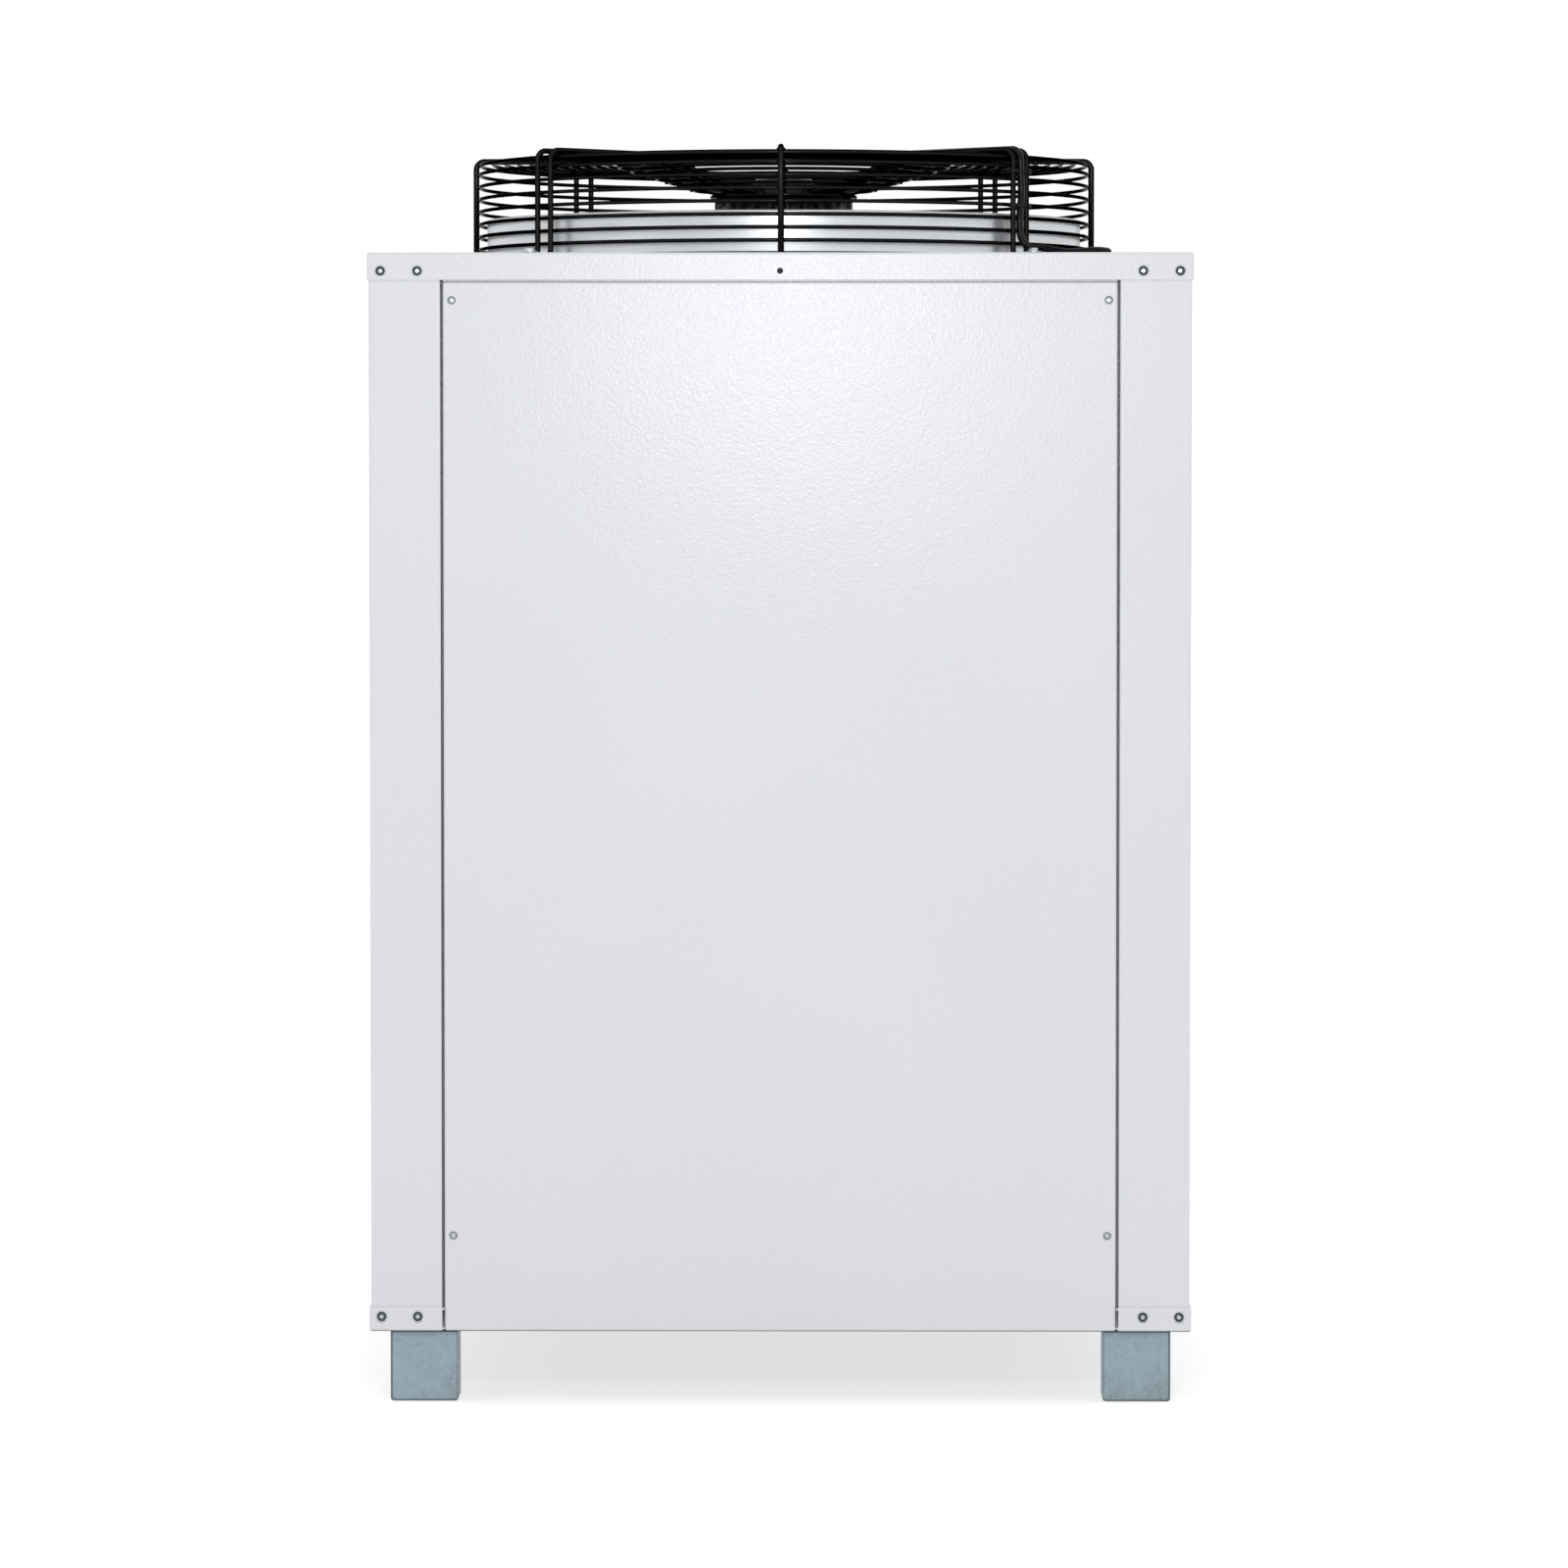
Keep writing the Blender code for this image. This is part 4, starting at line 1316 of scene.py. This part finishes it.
def add_welds(shape, turn, aside, nudge, size):
    """Adds a weld on each ring at one turn, moved out of the basket by nudge."""
    for radius, height in ring_places():
        along, up = math.cos(DISH_SLOPE + math.pi / 2), math.cos(DISH_SLOPE)
        if height < RIB_TOP - RIB_BEND:
            along, up = 1.0, 0.0
        elif radius > RIB_LINE - RIB_BEND:
            along = up = math.sqrt(0.5)
        elif radius > DISH_OUTER:
            along, up = 0.0, 1.0
        reach = math.sqrt(radius**2 - aside**2) + along * nudge
        add_bead(shape, spoke([(reach, height + up * nudge)], turn, aside)[0], size, turn)


class BuildCollar(bpy.types.Operator):
    """Turns the fan collar with its rolled lip, flange and bell mouth"""

    bl_idname = "chiller.build_collar"
    bl_label = "Fan collar"

    def execute(self, context):
        under = -SHEET - SEAT
        lip = (COLLAR_IN + LIP_R, COLLAR_HIGH - ROOF_Z - LIP_R)
        bell = (COLLAR_OUT + BELL_R, COLLAR_LOW + BELL_R + COLLAR_SHEET - ROOF_Z)
        rim = COLLAR_OUT + COLLAR_FLANGE
        profile = arc(lip, LIP_R, 180, -60, 12)
        profile += [(COLLAR_OUT, lip[1] - LIP_R), (COLLAR_OUT, under + 0.001)]
        profile += arc((COLLAR_OUT + 0.001, under + 0.001), 0.001, 180, 270, 3)[1:]
        profile += [(rim, under), (rim, under - COLLAR_SHEET), (COLLAR_OUT, under - COLLAR_SHEET)]
        profile += arc(bell, BELL_R, 180, 270, 8)
        profile += arc(bell, BELL_R + COLLAR_SHEET, 270, 180, 8)
        shape = bmesh.new()
        add_lathe(shape, profile, context.scene.chiller_guard.collar_steps, ROOF_MIDDLE)
        outer, inner = [], []
        for k in range(-4, 5):
            angle = SEAM_TURN + k * SEAM_STEP
            outer.append(polar(COLLAR_OUT + (SEAM_T if abs(k) < 4 else 0.0002), angle))
            inner.append(polar(COLLAR_OUT - 0.0005, angle))
        strap = outer + inner[::-1]
        heights = (0.0005, lip[1] - 0.004)
        add_prism(shape, [[(x, y, ROOF_Z + z) for x, y in strap] for z in heights])
        for height in (0.010, 0.022, 0.034):
            spot = spoke([(COLLAR_OUT + SEAM_T, height)], SEAM_TURN)[0]
            add_bead(shape, spot, SEAM_RIVET)
        piece("fan_collar_sheet", shape, COLLAR_BRIGHT, "fan_collar")
        rivets = bmesh.new()
        for x, y in round_places(RIVETS, RIVET_CIRCLE, 15):
            add_lathe(rivets, RIVET_LINE, RIVET_STEPS, on_roof(x, y, 0.0))
        piece("roof_rivets", rivets, BRIGHT_ZINC)
        return {"FINISHED"}


class BuildGuard(bpy.types.Operator):
    """Bends the guard's ring wires and ribs, with a weld at each crossing"""

    bl_idname = "chiller.build_guard"
    bl_label = "Wire guard"

    def execute(self, context):
        settings = context.scene.chiller_guard
        steps = settings.ring_steps
        shape = bmesh.new()
        for radius, height in ring_places():
            turns = [math.tau * k / steps for k in range(steps)]
            ring = [(*polar(radius, turn), ROOF_Z + height) for turn in turns]
            add_wire(shape, ring, RING_R, settings.wire_sides, closed=True)
        edge = rib_line(0.0)
        line = rounded([(WIRE_END, DISH_FLOOR)] + edge[:3], 0.020, 6)[:-1]
        line += edge[3:] + [(RIB_LINE, SEAT)]
        for k in range(4):
            turn = math.pi / 2 * k
            add_wire(shape, spoke(line, turn), RIB_R, settings.wire_sides + 2)
            add_welds(shape, turn, 0.0, (RING_R + RIB_R) * 0.45, RIB_WELD)
        piece("guard_basket", shape, WIRE_BLACK, "guard_rings", angle=50.0)
        return {"FINISHED"}


def strut_path(angle):
    """The bar of one double strut: in from the plate, over the basket, round its bolt and back."""
    seat = PLATE_TOP + SEAT + STRUT_R
    side = RIB_LINE + strut_offset(STRUT_R)
    toe = SEAT + STRUT_R
    edge = rib_line(strut_offset(STRUT_R))
    half = [(WIRE_END - STRUT_BEND, seat), (WIRE_END + STRUT_BEND, seat)] + edge[:3]
    half = rounded(half, EASE)[:-1] + edge[2:]
    half += arc((side + STRUT_BEND, toe + STRUT_BEND), STRUT_BEND, 180, 270, 6)
    path = spoke(half, angle, STRUT_HALF)
    for reach, aside in arc((side + STRUT_TOE, 0.0), STRUT_HALF, 90, -90, 14):
        path += spoke([(reach, toe)], angle, aside)
    return path + spoke(half[::-1], angle, -STRUT_HALF)


class BuildStruts(bpy.types.Operator):
    """Bends the double struts near the diagonals and bolts their feet to the roof"""

    bl_idname = "chiller.build_struts"
    bl_label = "Guard struts"

    def execute(self, context):
        bolts = bmesh.new()
        head = hex_head(0.0100, 0.0034)
        toe = RIB_LINE + strut_offset(STRUT_R) + STRUT_TOE - 0.0005
        seat = SEAT + 2 * STRUT_R
        for turns, (name, angle) in enumerate(STRUTS):
            shape = bmesh.new()
            add_wire(shape, strut_path(angle), STRUT_R, context.scene.chiller_guard.wire_sides + 2)
            for aside in (-STRUT_HALF, STRUT_HALF):
                add_welds(shape, angle, aside, RING_R, STRUT_WELD)
            piece("strut_" + name, shape, WIRE_BLACK, "guard_strut_" + name, angle=50.0)
            x, y = polar(toe, angle)
            washer(bolts, BOLT_WASHER, BOLT_R, seat + 0.0001, seat + 0.0015, on_roof(x, y, 0.0))
            stamp(bolts, head, on_roof(x, y, seat + 0.0014, 0.3 + turns))
            add_drum(bolts, BOLT_R, 0.0, seat + 0.002, RIVET_STEPS, on_roof(x, y, 0.0))
        piece("strut_bolts", bolts, BRIGHT_ZINC)
        return {"FINISHED"}


def cable_path():
    """The cable's centre line: along and down the front right strut, then over to its gland."""
    out = strut_offset(CABLE_R)
    seat = PLATE_TOP + SEAT + CABLE_R
    turn = -FRONT_STRUTS
    edge = rib_line(out)
    lead = rounded([(COVER_R - 0.004, seat), (WIRE_END + STRUT_BEND, seat)] + edge[:3], EASE)
    held = spoke(lead[:-1] + edge[2:], turn)
    down = [(0.088, 0.0004), (0.072, 0.0018), (0.056, 0.0004), (0.042, -0.0012), (0.026, 0.0)]
    free = [spoke([(RIB_LINE + out, height)], turn, aside)[0] for height, aside in down]
    x, y, _ = free[-1]
    lie = CABLE_R + SEAT
    over = 2 * STRUT_R + SEAT + lie
    steps = [
        (0.004, -0.001, over + 0.006),
        (0.011, -0.001, over + 0.002),
        (0.022, -0.004, over + 0.001),
        (0.036, -0.014, 0.0085),
        (0.050, -0.028, lie + 0.0016),
        (0.064, -0.045, lie + 0.0020),
        (0.077, -0.061, 0.0066),
        (0.084, -0.069, 0.0062),
        (0.0892, -0.0750, 0.0052),
        (0.0905, -0.0765, GLAND_H - 0.001),
    ]
    free += [Vector((x + right, y + back, ROOF_Z + height)) for right, back, height in steps]
    return held + smoothed(held[-1:] + free[:-2], 6)[1:] + rounded(free[-3:], 0.004)[1:]


def add_tie(shape, place, along, aside):
    """Adds a cable tie: a flat loop round a strut's wires and the cable, with its lock."""
    up = along.cross(aside).normalized()
    loop = []
    for k in range(TIE_STEPS):
        c, s = polar(1.0, math.tau * k / TIE_STEPS)
        reach = aside * (math.copysign(abs(c) ** TIE_SQUARE, c) * TIE_WIDE)
        rise = up * (math.copysign(abs(s) ** TIE_SQUARE, s) * TIE_THICK)
        loop.append(place + reach + rise)
    for shift in TIE_BAND:
        add_wire(shape, [spot + along * shift for spot in loop], TIE_R, 6, closed=True)
    lock = Matrix.Translation(place + aside * (TIE_WIDE * 0.55) + up * TIE_THICK)
    add_block(shape, *TIE_LOCK, lock @ Matrix((aside, along, up)).transposed().to_4x4())


class BuildCable(bpy.types.Operator):
    """Runs the motor cable down the front right strut to its gland"""

    bl_idname = "chiller.build_cable"
    bl_label = "Fan cable"

    def execute(self, context):
        path = cable_path()
        shape = bmesh.new()
        add_wire(shape, path, CABLE_R - 0.00003, CABLE_SIDES)
        turn = -FRONT_STRUTS
        aside = Vector((-math.sin(turn), math.cos(turn), 0.0))
        out = strut_offset(CABLE_R)
        for height in (0.092, 0.056):
            spot = spoke([(RIB_LINE + out - TIE_SINK, height)], turn)[0]
            add_tie(shape, spot, Vector((0, 0, -1)), aside)
        slope = Vector((*polar(math.cos(DISH_SLOPE), turn), math.sin(DISH_SLOPE)))
        for share in (0.35, 0.75):
            reach = DISH_START + (DISH_OUTER - DISH_START) * share
            height = DISH_FLOOR + (RIB_TOP - DISH_FLOOR) * share + out
            add_tie(shape, spoke([(reach, height - TIE_SINK)], turn)[0], slope, aside)
        piece("fan_cable_run", shape, RUBBER, "fan_cable", angle=50.0)

        x, y, _ = path[-1]
        gland = bmesh.new()
        nut = hex_head(GLAND_R * math.sqrt(3) * 0.99, 0.0022)
        stamp(gland, nut, on_roof(x, y, SEAT, 0.4))
        add_lathe(gland, GLAND_LINE, WASHER_STEPS, on_roof(x, y, 0.0))
        piece("cable_gland_nut", gland, RUBBER, "cable_gland")
        return {"FINISHED"}


def motor_cover():
    """The cap over the motor's terminals, with three bosses and the cable's sleeve."""
    low, high, edge = PLATE_TOP + SEAT, PLATE_TOP + COVER_H, 0.005
    profile = [(0.0, low), (COVER_R, low), (COVER_R, high - edge)]
    profile += arc((COVER_R - edge, high - edge), edge, 0, 90, 6)[1:]
    profile += [(COVER_R * 0.62, high), (COVER_R * 0.58, high - 0.0012), (0.0, high - 0.0012)]
    shape = bmesh.new()
    add_lathe(shape, profile, MOTOR_STEPS, ROOF_MIDDLE)
    for x, y in round_places(BOSSES, BOSS_CIRCLE, 20):
        add_lathe(shape, BOSS_LINE, RIVET_STEPS, on_roof(x, y, high - 0.0024))
    sleeve = [(COVER_R - 0.004, low + CABLE_R), (COVER_R + 0.006, low + CABLE_R)]
    add_wire(shape, spoke(sleeve, -FRONT_STRUTS), CABLE_R + 0.0015, 16)
    return shape


def motor_body():
    """The finned casting, with a band round either end and the shaft below it."""
    core, edge = MOTOR_CORE_R, MOTOR_R - 0.001
    fin = ((core, 0.0), (edge, 0.13), (MOTOR_R, 0.17), (MOTOR_R, 0.33), (edge, 0.37))
    fin += ((core, 0.5), (core, 0.75))
    top = PLATE_TOP - PLATE_T - SEAT
    levels = ((MOTOR_LOW, 0.955), (MOTOR_LOW + 0.002, 0.99), (MOTOR_LOW + 0.004, 1.0))
    outlines = []
    for height, share in levels + ((top - 0.003, 1.0), (top, 0.98)):
        ring = []
        for k in range(MOTOR_FINS):
            for radius, part in fin:
                place = polar(radius * share, math.tau / MOTOR_FINS * (k + part))
                ring.append((*place, ROOF_Z + height))
        outlines.append(ring)
    shape = bmesh.new()
    add_prism(shape, outlines)
    for height in (MOTOR_LOW + 0.009, top - 0.007):
        low, high = height - 0.0022, height + 0.0022
        band = [(core - 0.002, low), (core + 0.0035, low), (core + 0.0045, height)]
        band += [(core + 0.0035, high), (core - 0.002, high)]
        add_lathe(shape, band, MOTOR_STEPS, ROOF_MIDDLE)
    add_drum(shape, SHAFT_R, -0.020, MOTOR_LOW + 0.002, SHAFT_STEPS, ROOF_MIDDLE)
    return shape


class BuildMotor(bpy.types.Operator):
    """Builds the finned motor, the plate that carries it and its cover"""

    bl_idname = "chiller.build_motor"
    bl_label = "Motor"

    def execute(self, context):
        low, high, edge = PLATE_TOP - PLATE_T, PLATE_TOP, 0.0008
        profile = [(0.0, low), (PLATE_R - 0.001, low), (PLATE_R, low + edge)]
        profile += [(PLATE_R, high - edge), (PLATE_R - 0.001, high), (0.0, high)]
        shape = bmesh.new()
        add_lathe(shape, profile, HUB_STEPS, ROOF_MIDDLE)
        for k in range(4):
            for spot in spoke([(reach, high + edge) for reach in PLATE_WELDS], math.pi / 2 * k):
                add_bead(shape, spot, PLATE_WELD)
        piece("motor_plate_sheet", shape, WIRE_BLACK, "motor_plate")

        bolts = bmesh.new()
        head = hex_head(0.0080, 0.0036)
        for k, (x, y) in enumerate(round_places(MOTOR_BOLTS, MOTOR_BOLT_CIRCLE, 22.5)):
            washer(bolts, 0.0064, 0.0022, high, high + 0.0010, on_roof(x, y, 0.0))
            stamp(bolts, head, on_roof(x, y, high + 0.0009, 0.5 * k))
        piece("motor_bolts", bolts, WIRE_BLACK)
        piece("motor_cover_cap", motor_cover(), MOTOR_BLACK, "motor_cover")
        piece("motor_body", motor_body(), MOTOR_BLACK, "motor_stator", angle=30.0)
        return {"FINISHED"}


def add_blade(shape, index, count, swell):
    """Adds a blade, lofted through cambered sections on cylinders about the fan axis."""
    root = HUB_R - 0.006
    rows = []
    for k in range(STATIONS):
        share = (k / (STATIONS - 1)) ** STATION_EASE
        radius = root + (TIP_R - root) * share
        chord = ROOT_CHORD + (TIP_CHORD - ROOT_CHORD) * share
        pitch = ROOT_PITCH + (TIP_PITCH - ROOT_PITCH) * share
        half_t = (BLADE_T - BLADE_THIN * share) / 2
        half_t *= 1 + swell * math.exp(-max(radius - HUB_R, 0.0) / SWELL_REACH)
        row = []
        for side in (1, -1):
            for j in range(CHORDWISE):
                s = -0.5 * math.cos(math.pi * j / (CHORDWISE - 1)) * side
                along = s * chord
                across = CAMBER * chord * (1 - 4 * s * s)
                across += side * half_t * (1 - EDGE_THIN * s * s)
                turn = math.tau * index / count + TIP_SWEEP * share * share
                turn += (along * math.cos(pitch) - across * math.sin(pitch)) / radius
                height = BLADE_MID + along * math.sin(pitch) + across * math.cos(pitch)
                row.append(shape.verts.new((*polar(radius, turn), ROOF_Z + height)))
        rows.append(row)
    bridge(shape, rows)
    close_strip(shape, rows[0])
    close_strip(shape, rows[-1])


class BuildFan(bpy.types.Operator):
    """Lofts the fan blades and turns their hub"""

    bl_idname = "chiller.build_fan"
    bl_label = "Fan wheel"

    def execute(self, context):
        settings = context.scene.chiller_fan
        edge, floor = 0.006, HUB_HIGH - 0.018
        profile = [(0.0, -0.0215), (0.014, -0.0215), (0.016, -0.018), (0.016, floor)]
        profile += [(0.055, floor), (0.058, HUB_HIGH - 0.001), (0.060, HUB_HIGH)]
        profile += arc((HUB_R - edge, HUB_HIGH - edge), edge, 90, 0, 6)
        profile += arc((HUB_R - edge, HUB_LOW + edge), edge, 0, -90, 6)
        profile += [(0.030, HUB_LOW), (0.026, HUB_LOW + 0.003), (0.0, HUB_LOW + 0.003)]
        shape = bmesh.new()
        add_lathe(shape, profile, HUB_STEPS, ROOF_MIDDLE)
        webs = settings.blades * 2
        for k in range(webs):
            spin = Matrix.Rotation(math.tau * (k + 0.5) / webs, 4, "Z")
            low = (0.015, -0.0015, HUB_HIGH - 0.0185)
            add_block(shape, low, (0.058, 0.0015, HUB_HIGH - 0.006), ROOF_MIDDLE @ spin)
        for index in range(settings.blades):
            add_blade(shape, index, settings.blades, settings.root_swell)
        piece("fan_wheel", shape, FAN_BLACK, "fan_rotor", body="fan", angle=40.0)

        bolts = bmesh.new()
        head = hex_head(0.0080, 0.0030)
        for k in range(settings.blades):
            angle = math.tau * (k + 0.25) / settings.blades
            for reach in BLADE_BOLTS:
                stamp(bolts, head, on_roof(*polar(reach, angle), HUB_HIGH - 0.0181, angle))
        flip = Matrix.Rotation(math.pi, 4, "X")
        stamp(bolts, hex_head(0.0240, 0.0028), on_roof(0, 0, HUB_LOW + 0.0031) @ flip)
        piece("fan_bolts", bolts, BRIGHT_ZINC, body="fan")
        return {"FINISHED"}


class BuildBackFittings(bpy.types.Operator):
    """Turns the water sockets and the mains grommet on the back"""

    bl_idname = "chiller.build_back_fittings"
    bl_label = "Back fittings"

    def execute(self, context):
        screws = bmesh.new()
        head = pan_head(0.0021, 0.0009)
        under = POST_OUT + SEAT - HALF
        for node in ("water_inlet", "water_outlet"):
            z = mid(node, Z_AXIS)
            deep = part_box(node)[0].y - HALF
            profile = [(SOCKET_BORE + 0.0012, 0.0), (SOCKET_FLANGE - 0.0005, 0.0)]
            profile += [(SOCKET_FLANGE, -0.0005), (SOCKET_FLANGE, under), (SOCKET_R, under)]
            profile += [(SOCKET_R, deep), (SOCKET_BORE, deep)]
            height = -0.0240
            while height < -0.0030:
                profile += [(SOCKET_BORE, height), (SOCKET_BORE - 0.0011, height + 0.0011)]
                height += THREAD_PITCH
            profile += [(SOCKET_BORE, -0.0012)]
            shape = bmesh.new()
            add_lathe(shape, profile, MOTOR_STEPS, on_side(BACK, SOCKET_X, HALF, z))
            piece(node + "_socket", shape, BRASS, node, angle=25.0)
            for k, (x, rise) in enumerate(round_places(SOCKET_SCREWS, SOCKET_SCREW_CIRCLE, 30)):
                stamp(screws, head, on_side(BACK, SOCKET_X + x, HALF - 0.0010, z + rise, k))
        piece("socket_screws", screws, BRIGHT_ZINC)

        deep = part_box("mains_grommet")[0].y - HALF
        profile = arc((GROMMET_BORE + 0.0009, -0.0009), 0.0009, 180, 90, 4)
        profile += arc((GROMMET_FLANGE - 0.0008, -0.0008), 0.0008, 90, 0, 4)
        profile += [(GROMMET_FLANGE, under), (GROMMET_R, under), (GROMMET_R, deep + 0.001)]
        profile += [(GROMMET_R - 0.001, deep), (GROMMET_BORE, deep)]
        shape = bmesh.new()
        place = on_side(BACK, SOCKET_X, HALF, mid("mains_grommet", Z_AXIS))
        add_lathe(shape, profile, GROMMET_STEPS, place)
        piece("mains_grommet_ring", shape, RUBBER, "mains_grommet")
        return {"FINISHED"}


# ---------------------------------------------------------------- studio

WHITE = (1.0, 1.0, 1.0, 1.0)
FLOOR_COLOUR = (0.90, 0.90, 0.90, 1.0)  # for the light that the floor throws on the cabinet
SEEN_FLOOR = (0.50, 0.50, 0.50, 1.0)  # for the camera, with the glow on top
FLOOR_GLOW = 0.70
KEY_SIZE = (0.26, 0.18)
KEY_PLACE = (0.005, -3.40, 1.236)
CAMERA_PLACE = (0.0660, -7.425, 0.9432)
CAMERA_DOWN = 2.461  # degrees
CAMERA_TURN = 0.507  # degrees
LENS = 156.056


def white_rays(tree):
    """1 where the camera, a reflection or a glass sees the surface, otherwise 0."""
    path = tree.nodes.new("ShaderNodeLightPath")
    seen = maths(tree, "MAXIMUM", path.outputs["Is Camera Ray"], path.outputs["Is Glossy Ray"])
    return maths(tree, "MAXIMUM", seen, path.outputs["Is Transmission Ray"])


class BuildStudio(bpy.types.Operator):
    """Sets up the pale floor, the even room light, the soft key light and the camera"""

    bl_idname = "chiller.build_studio"
    bl_label = "Studio"

    def execute(self, context):
        settings = context.scene.chiller_studio
        shape = bmesh.new()
        bmesh.ops.create_grid(shape, x_segments=24, y_segments=24, size=45.0)
        floor = link("floor", shape)
        floor.location.z = -0.0002
        pale = bpy.data.materials.new("pale_floor")
        pale.use_nodes = True
        tree = pale.node_tree
        tree.nodes.clear()
        plain = put(tree, "ShaderNodeBsdfDiffuse", {"Color": FLOOR_COLOUR})
        seen = put(tree, "ShaderNodeBsdfDiffuse", {"Color": SEEN_FLOOR})
        glow = put(tree, "ShaderNodeEmission", {"Color": WHITE, "Strength": FLOOR_GLOW})
        both = put(tree, "ShaderNodeAddShader", {0: seen.outputs[0], 1: glow.outputs[0]})
        wires = {0: white_rays(tree), 1: plain.outputs[0], 2: both.outputs[0]}
        mixed = put(tree, "ShaderNodeMixShader", wires)
        put(tree, "ShaderNodeOutputMaterial", {0: mixed.outputs[0]})
        floor.data.materials.append(pale)

        world = bpy.data.worlds.new("white_room")
        context.scene.world = world
        world.use_nodes = True
        tree = world.node_tree
        tree.nodes.clear()
        strength = spread(tree, white_rays(tree), settings.room_light, 1.0)
        wires = {"Color": WHITE, "Strength": strength}
        back = put(tree, "ShaderNodeBackground", wires)
        put(tree, "ShaderNodeOutputWorld", {0: back.outputs[0]})

        lamp = bpy.data.lights.new("key", "AREA")
        lamp.shape = "RECTANGLE"
        lamp.size, lamp.size_y = KEY_SIZE
        lamp.energy = settings.key_power
        key = bpy.data.objects.new("key", lamp)
        key.location = KEY_PLACE
        key.rotation_euler = (math.radians(90), 0.0, 0.0)
        key.visible_camera = False
        context.scene.collection.objects.link(key)

        lens = bpy.data.cameras.new("camera")
        lens.lens = LENS
        lens.sensor_width = 36.0
        lens.clip_start = 0.1
        lens.clip_end = 200.0
        camera = bpy.data.objects.new("camera", lens)
        camera.location = CAMERA_PLACE
        camera.rotation_euler = (math.radians(90 - CAMERA_DOWN), 0.0, math.radians(CAMERA_TURN))
        context.scene.collection.objects.link(camera)
        context.scene.camera = camera
        context.scene.view_settings.view_transform = "Standard"
        return {"FINISHED"}


PIECES = (
    BuildSheets,
    BuildFeet,
    BuildScrews,
    BuildCoils,
    BuildCollar,
    BuildGuard,
    BuildStruts,
    BuildCable,
    BuildMotor,
    BuildFan,
    BuildBackFittings,
    BuildStudio,
)
SETTINGS = (
    ("chiller_sheets", SheetSettings),
    ("chiller_coils", CoilSettings),
    ("chiller_guard", GuardSettings),
    ("chiller_fan", FanSettings),
    ("chiller_finishes", FinishSettings),
    ("chiller_studio", StudioSettings),
)


class ChillerPanel(bpy.types.Panel):
    """Lists the chiller's pieces and their sizes"""

    bl_idname = "VIEW3D_PT_chiller"
    bl_label = "Water chiller"
    bl_space_type = "VIEW_3D"
    bl_region_type = "UI"
    bl_category = "Chiller"

    def draw(self, context):
        layout = self.layout
        for name, kind in SETTINGS:
            box = layout.box()
            box.label(text=kind.__doc__)
            for key in kind.__annotations__:
                box.prop(getattr(context.scene, name), key)
        column = layout.column(align=True)
        for operator in PIECES:
            column.operator(operator.bl_idname)


def register():
    for name, kind in SETTINGS:
        bpy.utils.register_class(kind)
        setattr(bpy.types.Scene, name, PointerProperty(type=kind))
    for operator in PIECES:
        bpy.utils.register_class(operator)
    bpy.utils.register_class(ChillerPanel)


def unregister():
    bpy.utils.unregister_class(ChillerPanel)
    for operator in reversed(PIECES):
        bpy.utils.unregister_class(operator)
    for name, kind in reversed(SETTINGS):
        delattr(bpy.types.Scene, name)
        bpy.utils.unregister_class(kind)


def main():
    for obj in list(bpy.context.scene.objects):
        if obj.name in ("Cube", "Light", "Camera"):
            bpy.data.objects.remove(obj, do_unlink=True)
    register()
    for operator in PIECES:
        family, name = operator.bl_idname.split(".")
        getattr(getattr(bpy.ops, family), name)()


if __name__ == "__main__":
    main()
